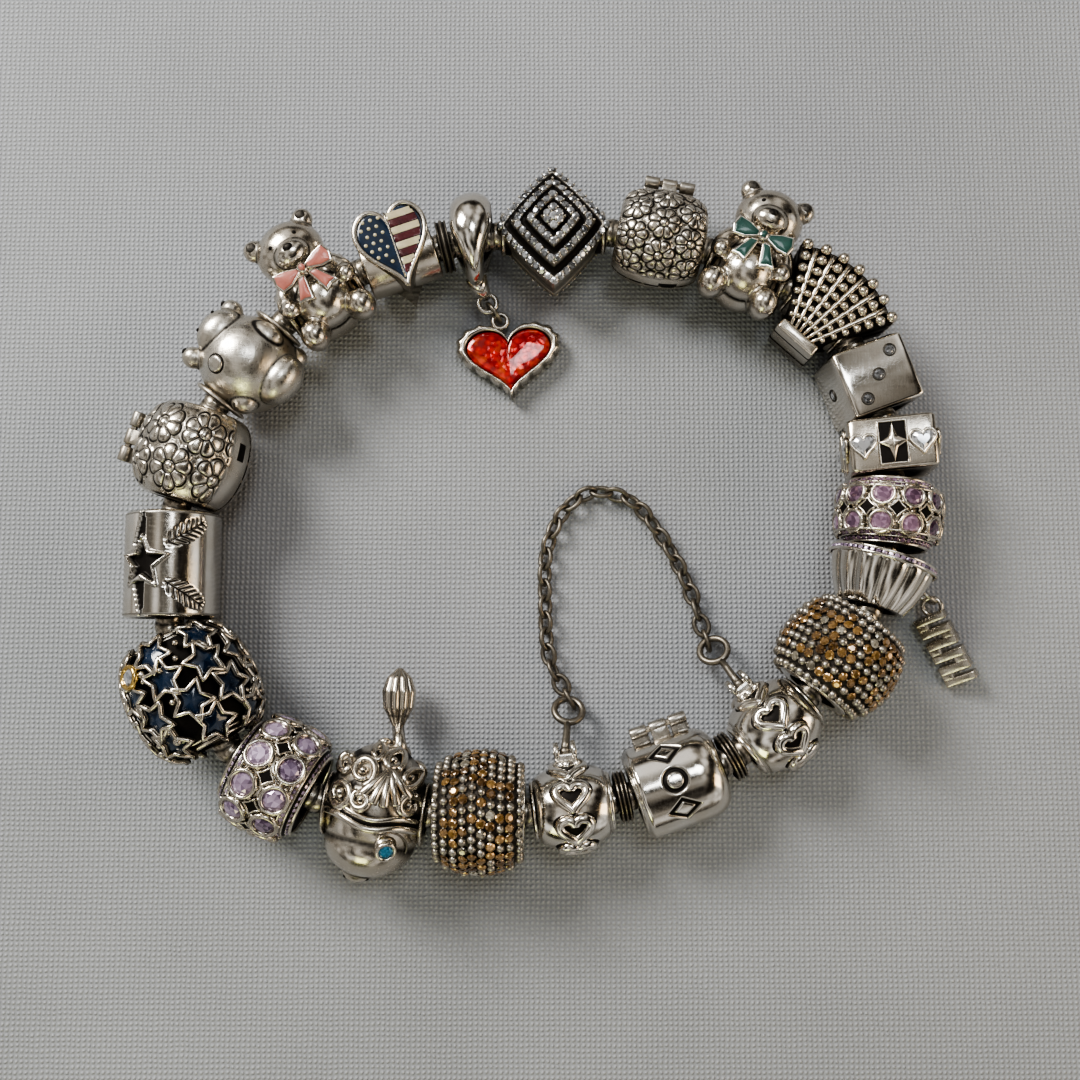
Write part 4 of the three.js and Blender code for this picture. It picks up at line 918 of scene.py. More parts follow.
def add_lilac(shape, rng, width, radius, flange, stones, stone):
    """Two rows of round stones in thick bezels, side by side, with a four-pointed opening between every
    four that is filled by a black plate of painted shade, and bands of tiny stones with thin rims at both
    ends."""
    base = radius - 0.55
    x, r = belly(width, base, flange - 0.4, 30)

    def dark_ends(x, turn):
        return smooth_step(0.36, 0.41, np.abs(x) / width)

    inner = [(width / 2 - 0.1, BORE), (-width / 2 + 0.1, BORE)]
    add_bead(shape, x * 0.96, r, inner, 72, None, dark_ends)
    bands = ((0.485, flange - 0.12, 0.2), (0.40, flange + 0.42, 0.13), (0.33, flange + 1.0, 0.15))
    for side in (-1, 1):
        for at, high, wire in bands:
            add_band(shape, side * width * at, high, wire)
        for at, high in ((0.445, flange + 0.12), (0.365, flange + 0.62)):
            count = int(2 * math.pi * high / 0.6)
            turn = 2 * np.pi * np.arange(count) / count
            spot = ring_path(side * width * at, high, count)
            normal = np.stack([np.full(count, side * 0.75), np.cos(turn), np.sin(turn)], -1)
            add_stones(shape, frames(spot, normal), 0.27, 2, rng, 5, 0.0, 0.9)
            step = np.stack([0 * turn, -0.3 * np.sin(turn), 0.3 * np.cos(turn)], -1)
            add_balls(shape, frames(spot + step, normal), 0.13, 0, 5, 3)
    turn = 2 * np.pi * (np.arange(stones) + 0.5) / stones
    row_at = width * 0.21
    for side in (-1, 1):
        spot, normal = on_belly(np.full(stones, side * row_at), turn, width, radius, flange, -0.38)
        places = frames(spot, normal * [0.75, 1, 1], rng.uniform(0, 1, stones))
        add_stones(shape, places, stone, 2, rng, 8, 0.0, 1.0)
        add_rims(shape, places, stone * 1.12, 0.2)
        petals = (np.arange(8) * np.pi / 4 + 0.4)[:, None]
        along, across = places[:, None, :, 0], places[:, None, :, 1]
        around = places[:, None, :, 3] + stone * 1.24 * (along * np.cos(petals) + across * np.sin(petals))
        prongs = frames(around.reshape(-1, 3), np.repeat(places[:, :, 2], 8, axis=0))
        add_balls(shape, prongs, 0.24, 0, 7, 4)
    spot, normal = on_belly(np.zeros(stones), turn + np.pi / stones, width, radius, flange, -0.3)
    hole = star_outline(0.78, 0.6, 4, 4)
    for place in frames(spot, normal):
        # Each opening is a black plate of painted shade, with a thin silver rim round it.
        gap, edge = Shape(), Shape()
        add_plate(gap, hole, -0.5, 0.0, 0.02)
        inset(shape, gap, place, slot=1, mark=1.0)
        add_tube(edge, np.column_stack([hole * 1.1, np.full(len(hole), 0.0)]), 0.12, 6, closed=True)
        inset(shape, edge, place)


def add_star_ball(shape, rng):
    """An open ball of star outlines that touch, each over navy enamel, round a core painted dark as the
    shade inside the ball, with small balls in the gaps and a clear stone in a gold bezel."""
    width, radius, flange = 11.2, 6.05, 3.4

    def radius_at(x):
        return belly_radius(x, width, radius, flange)

    x, r = belly(width, radius - 0.8, flange - 0.45, 40)

    # The core is painted nearly black, as shade seen through the gaps of the open ball.
    def shade(x, turn):
        return 0.9 + 0 * x

    inside = [(width / 2 - 0.1, BORE), (-width / 2 + 0.1, BORE)]
    add_bead(shape, x * 0.95, r, inside, 96, None, shade, slot=1)
    for side in (-1, 1):
        for at, high, wire in ((0.47, flange - 0.2, 0.3), (0.435, flange + 0.45, 0.16)):
            add_band(shape, side * width * at, high, wire)
    outline, fill = star_outline(2.12, 0.5, 5, 4), star_outline(1.9, 0.5, 5, 4)
    layout = ((-4.1, 7, 0.2), (-1.45, 9, 0.55), (1.45, 9, 0.2), (4.1, 7, 0.65))
    seats = [
        (x, 2 * np.pi * (k + start) / count, k + 2 * x)
        for x, count, start in layout for k in range(count)
    ]
    for station, angle, spin in seats:
        high = radius_at(np.array([station]))[0]
        centre = np.array([station, high * math.cos(angle), high * math.sin(angle)])
        normal = np.array([station * 0.35, math.cos(angle) * 3, math.sin(angle) * 3])
        rolled = math.sin(spin)
        up = np.array([math.cos(spin), -math.sin(angle) * rolled, math.cos(angle) * rolled])
        for lift, wire, sides, mark in ((0.0, 0.21, 6, 0.0), (-0.28, 0.19, 5, 0.5)):
            path = wrap_on(centre, normal, up, outline, radius_at, lift)
            add_tube(shape, path, wire, sides, closed=True, mark=mark)
        rings = np.stack([
            wrap_on(centre, normal, up, fill * s, radius_at, lift)
            for s, lift in ((0.05, -0.8), (1.0, -0.8), (1.0, -0.34), (0.6, -0.3), (0.05, -0.28))
        ])
        add_domed(shape, rings, slot=2)
    count = 60
    station, turn = rng.uniform(-4.8, 4.8, count), rng.uniform(0, 2 * np.pi, count)
    spot, normal = on_belly(station, turn, width, radius - 0.3, flange)
    add_balls(shape, frames(spot, normal), rng.uniform(0.26, 0.46, count), 0, 10, 6, 0.15)
    spot, normal = on_belly(np.array([3.2]), np.array([0.98]), width, radius, flange, 0.05)
    place = frames(spot, normal)
    add_stones(shape, place, 0.95, 3, rng, 8, 0.2, 0.9)
    add_rims(shape, place, 0.98, 0.24, 4, 28)


def add_star_barrel(shape):
    """A polished cylinder with a star let into its side in a raised border, dark pointed facets
    from the star to both ends, and two engraved sprigs of leaves that slant away from it."""
    width, radius = 10.2, 4.5
    half = width / 2
    x = np.linspace(-half, half, 120)
    r = radius - 0.3 * smooth_step(0.94, 1.0, np.abs(x) / half) ** 2
    star_at = math.radians(70)

    def star(x, turn, size):
        across = wrapped(turn - star_at) * radius
        reach, way = np.hypot(x, across), np.arctan2(across, x)
        tip = np.abs((way + np.pi / 5) % (2 * np.pi / 5) - np.pi / 5)
        inner = 0.44
        draw = (inner + (1 - inner) * np.sin(tip) / np.sin(np.pi / 5)) ** 0.75
        return reach - size * inner / np.cos(np.pi / 5 - tip) / draw, across

    def sprig(x, turn, way):
        start, lean = 1.75, math.radians(58)
        off = x * way - start
        over = wrapped(turn - math.radians(100)) * radius
        along = off * math.cos(lean) + over * math.sin(lean)
        across = np.abs(-off * math.sin(lean) + over * math.cos(lean))
        reach = 0.95 * np.sqrt(np.clip(1 - (along / 2.35 - 0.95) ** 2, 0, 1))
        cell = (along - 0.9 * across) % 0.6 - 0.3
        leaf = np.exp(-((cell / 0.14) ** 2)) * (across < reach) * (across > 0.08)
        stem = np.exp(-((across / 0.09) ** 2))
        return np.maximum(leaf, stem) * (along > 0) * (along < 4.4)

    def lines(x, turn):
        level, across = star(x, turn, 2.5)
        slope = np.abs(across) - 0.3 * (half - np.abs(x))
        ridge = (np.abs(x) > 1.7) & (np.abs(x) < half - 0.1) & (slope < 0) & (across < 0.35)
        return level, ridge, np.clip(sprig(x, turn, 1) + sprig(x, turn, -1), 0, 1)

    def rise(x, turn):
        level, ridge, leaves = lines(x, turn)
        border = 0.24 * np.exp(-((level - 0.1) / 0.2) ** 2)
        well = -0.5 * smooth_step(-0.05, -0.3, level)
        return border + well - 0.3 * ridge * (level > 0.3) - 0.12 * leaves * (level > 0.45)

    def shade(x, turn):
        level, ridge, leaves = lines(x, turn)
        well = 0.85 * smooth_step(-0.05, -0.25, level)
        ring = 0.6 * np.exp(-((level - 0.42) / 0.09) ** 2)
        rim = np.exp(-((np.abs(x) - half * 0.94) / 0.05) ** 2)
        parts = [well, ring, 0.9 * ridge * (level > 0.3), leaves * (level > 0.45), rim]
        return np.clip(np.maximum.reduce(parts), 0, 1)

    inside = [(half - 0.02, 3.2), (half - 0.5, BORE), (-half + 0.5, BORE), (-half + 0.02, 3.2)]
    add_bead(shape, x, r, inside, 192, rise, shade)


def flower_field(x, turn, width, radius, size, low, high):
    """Height and shade of a carpet of daisies on a belly. Flowers sit in staggered rows, each of
    eight puffed petals with dark outlines round a button, and each point goes to the flower
    whose rim it is nearest to."""
    height, shade = np.full(x.shape, -0.06), np.full(x.shape, 0.12)
    nearest = np.full(x.shape, 9.0)
    rows = max(2, int(round(width / (size * 1.85))))
    stations = (np.arange(rows) - (rows - 1) / 2) * size * 1.86
    for k, station in enumerate(stations):
        count = max(3, int(round((high - low) * radius / (size * 1.96))))
        for i in range(-1, count + 1):
            angle = low + (high - low) * (i + 0.5 * (k % 2) + 0.25) / count
            across = wrapped(turn - angle) * radius
            along = x - station
            reach, way = np.hypot(along, across), np.arctan2(across, along) + 0.7 * i + k
            petal = np.abs(np.sin(4 * way))
            rim = reach / (size * (0.78 + 0.22 * petal**0.5))
            button = reach / (size * 0.25)
            puff = np.sqrt(np.clip(1 - rim**4, 0, 1)) * (0.5 + 0.5 * smooth_step(0.0, 0.5, petal))
            bloom = 0.04 + 0.3 * puff * smooth_step(0.9, 1.5, button)
            bloom = np.where(button < 1, 0.1 + 0.3 * np.sqrt(np.clip(1 - button**2, 0, 1)), bloom)
            split = np.exp(-((petal * reach / 0.34) ** 2)) * (button > 1.1) * (rim < 1.04)
            outline = np.exp(-((rim - 1.03) * size / 0.13) ** 2)
            moat = np.exp(-((button - 1.15) * size * 0.25 / 0.08) ** 2)
            dark = np.maximum.reduce([0.95 * split, outline, moat, 0.05 + 0 * x])
            closer = (rim < nearest) & (rim < 1.16)
            height = np.where(closer, bloom, height)
            shade = np.where(closer, np.clip(dark, 0, 1), shade)
            nearest = np.minimum(nearest, rim)
    return height, shade


def add_hinge(shape, radius, towards, knuckle, lid):
    """The knuckles of one half and the webs that carry them."""
    axis = towards * (radius + 1.1)
    out = 0.58
    side = knuckle + 0.3
    spots = (0,) if lid else (-side, side)
    up = 1 if lid else -1
    for x in spots:
        add_rod(shape, out, knuckle, (x, axis, 0), "X", 0.1, 28, mark=0.35)
        add_box(shape, (knuckle, 1.5, 0.46), (x, axis - towards * 0.8, up * 0.3), 0.08, mark=0.35)


def add_clip_half(shape, lid, width, radius, flange, flower, wall, covered):
    """Half of a daisy clip, cut along its middle plane: the lid is covered in flowers up to a
    plain polished band, and the body has them on its far side only."""
    x, r = belly(width, radius - 0.3, flange, 120 if lid else 64)
    gap = 0.028
    start, end = (gap, np.pi - gap) if lid else (np.pi + gap, 2 * np.pi - gap)
    low, high = covered

    def field(x, turn):
        return flower_field(x, turn, width, radius - 0.1, flower, low, high)

    def edge_of(turn):
        return smooth_step(high + 0.42, high + 0.3, turn) if lid else smooth_step(5.0, 5.2, turn)

    def rise(x, turn):
        edge, inner = edge_of(turn), smooth_step(0.97, 0.9, 2 * np.abs(x) / width)
        return edge * inner * field(x, turn)[0] + (1 - edge) * 0.12

    def shade(x, turn):
        edge, inner = edge_of(turn), smooth_step(0.985, 0.93, 2 * np.abs(x) / width)
        seam = np.exp(-((turn - start) / 0.02) ** 2) + np.exp(-((turn - end) / 0.02) ** 2)
        slot = (np.abs(x - 1.6) < 0.9) & (np.abs(turn - high - 0.62) < 0.09) if lid else 0
        return np.clip(edge * inner * field(x, turn)[1] + 0.5 * seam + 0.95 * slot, 0, 1)

    snug = 1.85
    inside = [(width / 2, snug), (width / 2 - wall, snug)]
    for share in (0.8, 0.4, 0.0, -0.4, -0.8):
        at = share * (width / 2 - wall)
        hollow = flange + (radius - flange) * math.sqrt(1 - share**2 * 0.9) - wall
        inside.append((at, max(hollow, snug)))
    inside += [(-width / 2 + wall, snug), (-width / 2, snug)]
    add_bead(shape, x, r, inside, 180 if lid else 88, rise, shade, start, end)
    add_hinge(shape, radius - 0.1, 1, 1.5, lid)


def add_clasp_half(shape, lid):
    """Half of the barrel clasp: a polished barrel, round at its left end, whose lid is engraved
    with a ring between two lozenges."""
    width, radius, neck = 8.8, 4.45, 2.5
    half = width / 2
    x = np.linspace(-half, half, 96)
    share = x / half
    round_end = np.sqrt(np.clip(1 - np.clip((-share - 0.35) / 0.65, 0, 1) ** 2.4, 0, 1))
    r = neck + (radius - neck) * round_end
    r = r - 0.55 * smooth_step(0.8, 1.0, share) ** 2
    gap = 0.03
    start, end = (gap, np.pi - gap) if lid else (np.pi + gap, 2 * np.pi - gap)

    def lines(x, turn):
        deep = np.zeros(x.shape)
        for at, kind in ((62, "lozenge"), (100, "ring"), (138, "lozenge")):
            across = wrapped(turn - math.radians(at)) * radius
            along = x - 0.5
            if kind == "ring":
                line = np.exp(-((np.hypot(along, across) - 1.0) / 0.24) ** 4)
            else:
                line = np.exp(-((np.abs(along) / 1.35 + np.abs(across) / 1.0 - 1) / 0.24) ** 4)
            deep = np.maximum(deep, line)
        return deep if lid else 0 * deep

    def rise(x, turn):
        nick = smooth_step(1.5, 1.1, np.abs(x)) * smooth_step(0.32, 0.2, np.abs(turn - (2 * np.pi - gap)))
        return -0.2 * lines(x, turn) - (0 if lid else 0.7) * nick

    def shade(x, turn):
        seam = np.exp(-((turn - start) / 0.022) ** 2) + np.exp(-((turn - end) / 0.022) ** 2)
        return np.clip(lines(x, turn) * 1.1 + 0.55 * seam, 0, 1)

    hollow = radius - 0.9
    inside = [(half, 1.7), (2.8, 1.7), (2.8, hollow), (-2.8, hollow), (-2.8, 1.7), (-half, 1.7)]
    add_bead(shape, x, r, inside, 160 if lid else 80, rise, shade, start, end)
    add_hinge(shape, radius, -1, 1.7, lid)


# Cast figures
def ball_distance(points, centre, size, turn):
    """Roughly how far points lie outside a stretched ball."""
    local = (points - centre) @ turn
    near = np.linalg.norm(local / size, axis=1) + 1e-9
    steep = np.linalg.norm(local / np.square(size), axis=1) + 1e-9
    return near * (near - 1) / steep


def add_skin(shape, balls, voxel=0.15, soften=5, crease=0.3, polish=()):
    """One cast skin over overlapping balls, given as centre, size and a turn about Z. It is dark
    where a point is close to two of them at once, and bright on the ones named by polish."""
    loose = Shape()
    placed = []
    for centre, size, angle in balls:
        turn = np.array(turned(angle, "Z"))[:3, :3]
        size = np.broadcast_to(np.array(size, float), 3)
        add_domed(loose, (globe(32, 20) * size) @ turn.T + np.array(centre, float))
        placed.append((np.array(centre, float), size, turn))
    mesh = bpy.data.meshes.new("loose")
    mesh.from_pydata(np.vstack(loose.points).tolist(), [], np.vstack(loose.faces).tolist())
    body = bpy.data.objects.new("loose", mesh)
    bpy.context.scene.collection.objects.link(body)
    skin = body.modifiers.new("skin", "REMESH")
    skin.mode = "VOXEL"
    skin.voxel_size = voxel
    soft = body.modifiers.new("soft", "SMOOTH")
    soft.iterations = soften
    graph = bpy.context.evaluated_depsgraph_get()
    made = bpy.data.meshes.new_from_object(body.evaluated_get(graph), depsgraph=graph)
    points = np.empty(len(made.vertices) * 3)
    made.vertices.foreach_get("co", points)
    points = points.reshape(-1, 3)
    made.calc_loop_triangles()
    faces = np.empty(len(made.loop_triangles) * 3, int)
    made.loop_triangles.foreach_get("vertices", faces)
    faces = faces.reshape(-1, 3)
    bpy.data.objects.remove(body)
    bpy.data.meshes.remove(mesh)
    bpy.data.meshes.remove(made)
    distance = np.stack([ball_distance(points, *ball) for ball in placed])
    close = np.exp(-((distance / crease) ** 2))
    mark = np.clip((close.sum(0) - close.max(0)) * 0.95 - 0.05, 0, 1)
    for index in polish:
        mark = np.where(distance.argmin(0) == index, mark * 0.55, mark)
    shape.add(points, faces, mark=mark)
    return points


def add_hippo(shape):
    """A plump resting animal: ears and legs as knobs, a flat button on its back and a large
    oval foot towards the inside of the loop."""
    balls = [
        ((0, 0, 0), (4.85, 4.85, 4.85), 0),
        ((-2.9, 4.2, 1.6), (1.1, 1.15, 1.1), 0),
        ((3.1, 4.2, 1.6), (1.1, 1.15, 1.1), 0),
        ((0.6, -4.1, 1.6), (2.7, 1.9, 2.1), 0),
        ((3.4, -3.2, -0.3), (1.1, 1.1, 1.0), 0),
        ((-3.3, -2.6, 1.6), (1.2, 1.35, 1.2), 20),
        ((0.6, 3.4, 2.4), (2.5, 2.0, 1.8), 0),
        ((2.9, -0.4, 2.7), (1.5, 1.9, 1.2), 15),
    ]
    add_skin(shape, balls, 0.18, 6, 0.17, (3,))
    out = np.array([-2.13, 1.05, 4.23]) / 4.85
    place = frames([out * 4.62], [out])[0]
    disc, moat = Shape(), Shape()
    add_rod(disc, 0.85, 0.8, axis="Z", edge=0.25, sides=40)
    inset(shape, disc, place)
    add_tube(moat, np.column_stack([circle(0.92, 48), np.full(48, 0.12)]), 0.07, 8, closed=True)
    inset(shape, moat, place, mark=0.8)
    for x in (-2.9, 3.1):
        add_ball(shape, (x, 5.02, 2.0), (0.36, 0.36, 0.36), 16, 10, mark=0.8)
    for x, y in ((-0.5, 4.9), (1.7, 4.9)):
        add_ball(shape, (x, y, 3.15), (0.2, 0.2, 0.2), 12, 8, mark=1.0)
    add_end_rings(shape, 9.8)


def add_bear(shape):
    """A seated bear on its back, head out of the loop and face up, with its oval feet raised and
    its round hands beside the bow."""
    balls = [
        ((0, -0.4, -0.5), (4.05, 3.95, 3.95), 0),
        ((0, -1.0, 1.4), (2.9, 2.9, 2.7), 0),
        ((0, 4.75, 1.5), (3.45, 3.0, 3.0), 0),
        ((0, 3.85, 3.75), (1.75, 1.35, 1.3), 0),
        ((-2.85, 6.75, 2.0), (1.1, 1.1, 0.85), 0),
        ((2.85, 6.75, 2.0), (1.1, 1.1, 0.85), 0),
        ((-2.7, -3.5, 1.8), (1.45, 1.6, 2.2), -14),
        ((2.7, -3.5, 1.8), (1.45, 1.6, 2.2), 14),
        ((-3.1, 0.9, 2.2), (1.0, 1.9, 1.1), -28),
        ((3.1, 0.9, 2.2), (1.0, 1.9, 1.1), 28),
        ((-3.2, -0.4, 2.9), (0.95, 0.95, 0.9), 0),
        ((3.2, -0.4, 2.9), (0.95, 0.95, 0.9), 0),
    ]
    add_skin(shape, balls, 0.175, 5, 0.16, (1, 3, 6, 7, 10, 11))
    add_ball(shape, (0, 4.15, 4.86), (0.55, 0.42, 0.26), 18, 10, mark=0.75)
    mouth = np.linspace(-1, 1, 15)
    smile = np.stack([0.62 * mouth, 3.15 + 0.3 * mouth**2, 4.86 - 0.22 * mouth**2], -1)
    add_tube(shape, smile, 0.07, 8, mark=1.0)
    for side in (-1, 1):
        add_ball(shape, (side * 1.35, 5.3, 4.08), (0.24, 0.24, 0.22), 16, 10, mark=1.0)
        add_ball(shape, (side * 2.9, 6.95, 2.72), (0.5, 0.5, 0.16), 18, 10, mark=0.7)
        add_ball(shape, (side * 2.75, -3.75, 2.7), (1.4, 1.55, 1.6), 32, 20)
    add_end_rings(shape, 8.2, 2.5)


def add_bow(shape):
    """An enamelled bow in a raised silver edge: two loops, two spread tails and a knot."""
    wing = [(0.3, 1.5), (1.7, 0.85), (2.9, 0.75), (3.2, 1.7), (2.9, 2.75), (1.7, 2.55), (0.3, 2.0)]
    tail = [(0.1, 1.5), (0.75, -1.3), (1.55, -0.95), (2.3, -0.95), (0.9, 1.5)]
    for side in (-1, 1):
        for outline, low, high, share in ((wing, 4.3, 4.8, 0.82), (tail, 4.1, 4.5, 0.74)):
            run = filled(np.array(outline) * [side, 1], 6)
            add_plate(shape, run, low, high, 0.12)
            inner = (run - run.mean(0)) * share + run.mean(0)
            add_plate(shape, inner, high - 0.12, high + 0.05, 0.06, 0.1, slot=1)
    add_ball(shape, (0, 1.75, 4.7), (0.56, 0.6, 0.42), 24, 14)
    add_ball(shape, (0, 1.75, 4.82), (0.4, 0.44, 0.36), 24, 14, slot=1)


def fish_top(x, y):
    """The height of the fish's side over its middle plane: that of a ball stretched three ways."""
    return 5.4 * np.sqrt(np.clip(1 - (x / 5.0) ** 2 - (y / 6.35) ** 2, 0.02, 1))


def add_fish(shape, rng):
    """A fish: a smooth head out of the loop, a body overlaid with scrolls that end in dimpled
    bubbles, a ribbed fin, a set eye on each side and a ribbed tail bud on a narrow neck."""
    balls = [
        ((0, 0, 0), (4.85, 6.2, 5.3), 0),
        ((0.2, 3.0, 0.0), (4.3, 3.3, 4.95), 0),
        ((1.0, 6.1, -0.4), (1.5, 1.0, 1.35), 0),
    ]
    skin = Shape()
    points = add_skin(skin, balls, 0.21, 5, 0.2)
    x, y = points[:, 0], points[:, 1]
    cracks = np.abs(np.sin(1.5 * x + 0.8 * np.sin(1.3 * y)) * np.sin(1.2 * y))
    body = smooth_step(0.9, 0.4, y + 0.12 * x)
    cracked = body * (0.25 + 0.5 * smooth_step(0.35, 0.05, cracks))
    mark = np.maximum(np.concatenate(skin.marks) * 0.8, cracked)
    shape.add(points, np.vstack(skin.faces), mark=mark)
    slit = np.linspace(-1, 1, 21)
    mouth = np.stack([1.0 + 1.15 * slit, 6.98 - 0.5 * slit**2, -0.25 + 0.5 * slit**2], -1)
    add_tube(shape, mouth, 0.12, 8, mark=1.0)
    way = np.array([-0.36, 0.42, 1.0])
    scrolls = [
        (2.9, -1.7, 1.3, 0.2), (1.1, -3.9, 1.25, 1.7), (-3.4, -1.2, 1.0, 3.0), (-1.4, -5.0, 0.95, 2.2),
        (3.1, -4.1, 0.85, 4.0), (0.8, -1.4, 0.9, 5.2), (-3.2, -3.6, 0.9, 0.7), (0.2, -5.6, 0.7, 1.0),
    ]
    gills = ((0, 0.0, 0.36, 0.0), (-0.5, 0.0, 0.14, 0.8), (-0.85, -0.04, 0.28, 0.0))
    for up in (1, -1):

        def over(x, y, lift):
            return np.stack([x, y, up * (fish_top(x, y) + lift)], -1)

        gill = np.linspace(-4.2, 4.2, 48)
        y = 0.75 - 0.12 * gill + 0.25 * np.cos(gill)
        for step, lift, wire, mark in gills:
            add_tube(shape, over(gill, y + step, lift), wire, 10, mark=mark)
        for cx, cy, r, start in scrolls:
            t = np.linspace(0, 1, 30)
            angle = start + up * t * 2 * np.pi * 1.1
            reach = r * (1.0 - 0.5 * t)
            x, y = cx + reach * np.cos(angle), cy + reach * np.sin(angle)
            wire = 0.16 + 0.26 * np.sin(np.pi * (0.15 + 0.8 * t))
            add_tube(shape, over(x, y, 0.04 + 0.1 * t), wire, 9)
            top = float(fish_top(np.array(cx), np.array(cy)))
            add_ball(shape, (cx, cy, up * (top + 0.02)), r * 0.4, 16, 10)
            add_ball(shape, (cx, cy, up * (top + r * 0.4 - 0.04)), (0.17, 0.17, 0.06), 12, 8, mark=1.0)
        for angle in np.linspace(-0.75, 0.75, 5):
            t = np.linspace(0, 1, 20)
            x = -1.3 + np.sin(angle) * 3.0 * t
            y = -4.4 + np.cos(angle) * 3.3 * t
            add_tube(shape, over(x, y, 0.26 * np.sin(np.pi * t)), 0.2 + 0.34 * t, 10)
        out = way * [1, 1, up]
        eye = np.array([[-1.9, 2.7, up * 4.62]])
        add_balls(shape, frames(eye - 0.62 * out / np.linalg.norm(out), [out]), 1.12, 0, 24, 14)
        lifted = frames(eye + 0.42 * out / np.linalg.norm(out), [out])
        add_stones(shape, lifted, 0.72, 1, rng, 8, 0.3, 0.8)
        add_rims(shape, lifted, 0.82, 0.24, 0, 32)
        cheek = np.linspace(0.4, 2.6, 30)
        x, y = -1.9 + 1.75 * np.cos(cheek * 1.2 + 0.4), 2.7 - 1.55 * np.sin(cheek * 1.2 + 0.4)
        add_tube(shape, over(x, y, -0.02), 0.1, 8, mark=0.5)
    neck = [(-1.5, -5.2, -0.9), (-1.1, -6.4, -1.4), (-0.7, -7.7, -1.9)]
    add_tube(shape, neck, [0.85, 0.62, 0.6], 14)
    t = np.linspace(0.0, 1.0, 44)[:, None]
    turn = even_turn(72)[None]
    swell = np.interp(t, [0, 0.06, 0.2, 0.35, 0.62, 0.85, 1], [0.18, 0.36, 0.6, 0.9, 1.0, 0.72, 0.12])
    flute = np.abs(np.cos(4.5 * turn))
    r = 1.62 * swell * (0.8 + 0.24 * flute**0.6)
    rows = np.stack([r * np.cos(turn), -6.0 * t + 0 * turn, r * np.sin(turn)], -1)
    tilt = np.array(turned(6, "Z"))[:3, :3]
    shade = 1.0 * (flute < 0.3) * (swell > 0.3) + 0.6 * np.exp(-((t - 0.22) / 0.02) ** 2)
    add_domed(shape, rows @ tilt.T + np.array([-0.7, -7.4, -2.3]), mark=np.clip(shade, 0, 1))
    add_end_rings(shape, 9.8, 3.0)


# Flat charms
def add_plaque(shape):
    """A thick heart plate on a tube, its raised border round the enamel."""
    heart = heart_outline(7.5, 9.2)
    add_plate(shape, heart, -3.0, 3.45, 0.1)
    border = np.column_stack([heart * 0.94, np.full(len(heart), 3.62)])
    add_tube(shape, border, 0.27, 10, closed=True)
    add_rod(shape, 3.0, 7.4, sides=64, edge=0.3)
    for side in (-1, 1):
        add_band(shape, side * 3.45, 2.75, 0.25, count=72)
        # A thin dark disc at each end is painted shade in the mouth of the bore.
        add_rod(shape, BORE, 0.1, (side * 3.68, 0, 0), "X", 0.02, 40, mark=1.0)


def add_plaque_enamel(shape):
    """The heart's face: navy with pale dots on one side, red and cream stripes on the other."""
    heart = heart_outline(7.5, 9.2) * 0.86
    add_plate(shape, heart, 3.5, 3.86, 0.05, 0.06, slot=0)
    right = heart[heart[:, 0] > 0]
    order = right[np.argsort(right[:, 1])]

    def half_width(y):
        near = np.abs(right[None, :, 1] - np.atleast_1d(y)[:, None]) < 0.35
        return np.where(near, right[None, :, 0], 0).max(1)

    edges = np.linspace(order[0, 1] + 0.9, order[-1, 1] - 0.35, 9)
    for k, (low, high) in enumerate(zip(edges[:-1], edges[1:])):
        y = np.linspace(low + 0.03, high - 0.03, 8)
        w = half_width(y) * 0.93
        stripe = np.vstack([np.stack([w, y], -1), [[0.16, high - 0.03], [0.16, low + 0.03]]])
        add_plate(shape, stripe, 3.8, 3.97, 0.03, 0.0, slot=1 + k % 2)
    dots = np.array([
        (x, y)
        for j, y in enumerate(np.arange(-3.0, 3.6, 0.78))
        for x in np.arange(-3.1 + 0.4 * (j % 2), -0.35, 0.8)
    ])
    inside = -dots[:, 0] < half_width(dots[:, 1]) - 0.28
    for x, y in dots[inside]:
        add_ball(shape, (x, y, 3.88), (0.2, 0.2, 0.09), 14, 8, slot=2)
    line = np.linspace(edges[0] - 0.4, edges[-1] + 0.1, 12)
    add_tube(shape, np.stack([0.02 * np.sin(line), line, np.full(12, 3.9)], -1), 0.11, 8, slot=3)


def add_smooth_bail(shape):
    """A polished leaf-like bead: widest out of the loop, it draws in towards its drilled tip."""
    x, r = belly(4.2, 4.7, 3.1, 44)
    grid, turn, _ = ring_bead(x, r, [(2.0, BORE), (-2.0, BORE)], 120)
    narrow = 0.46 + 0.54 * smooth_step(-1.05, 0.25, np.cos(turn))
    grid[..., 0] = grid[..., 0] * narrow + 0.35 * np.cos(turn)
    mark = np.zeros(grid.shape[:2])
    # The bore is painted dark as shade.
    mark[len(x):] = BORE_SHADE
    mark[1:4] = mark[len(x) - 4:len(x) - 1] = 0.5
    shape.add(*lattice(grid, around_u=True, around_v=True), mark=mark)
    path = np.array([(-0.3, -3.6, -0.4), (-0.1, -4.5, -1.1), (0.2, -5.0, -1.7), (0.4, -5.3, -2.2)])
    add_tube(shape, path, [1.15, 0.95, 0.72, 0.5], 24)
    loop = np.column_stack([circle(1.0, 40) * [0.92, 0.95] + [0.4, -5.82], np.full(40, -2.6)])
    add_tube(shape, loop, 0.27, 10, closed=True, mark=0.3)


# Height of the table in the smooth bail's own millimetres
TABLE = -4.6


def add_ring(shape, at, radius, wire, turns, mark=0.0):
    """A jump ring: a round wire closed on itself, turned about X, Y and Z in that order."""
    ring = np.column_stack([circle(radius, 48), np.zeros(48)])
    place = turned(turns[2], "Z") @ turned(turns[1], "Y") @ turned(turns[0], "X")
    add_tube(shape, ring @ np.array(place)[:3, :3].T + np.array(at), wire, 10, closed=True, mark=mark)


def pendant_place(points, z):
    """The pendant's flat points where it lies by its bail, at a height."""
    spin = math.radians(-6)
    turn = np.array([[math.cos(spin), -math.sin(spin)], [math.sin(spin), math.cos(spin)]])
    flat = points @ turn.T + [1.6, -12.1]
    return np.column_stack([flat, np.broadcast_to(z, len(flat))])


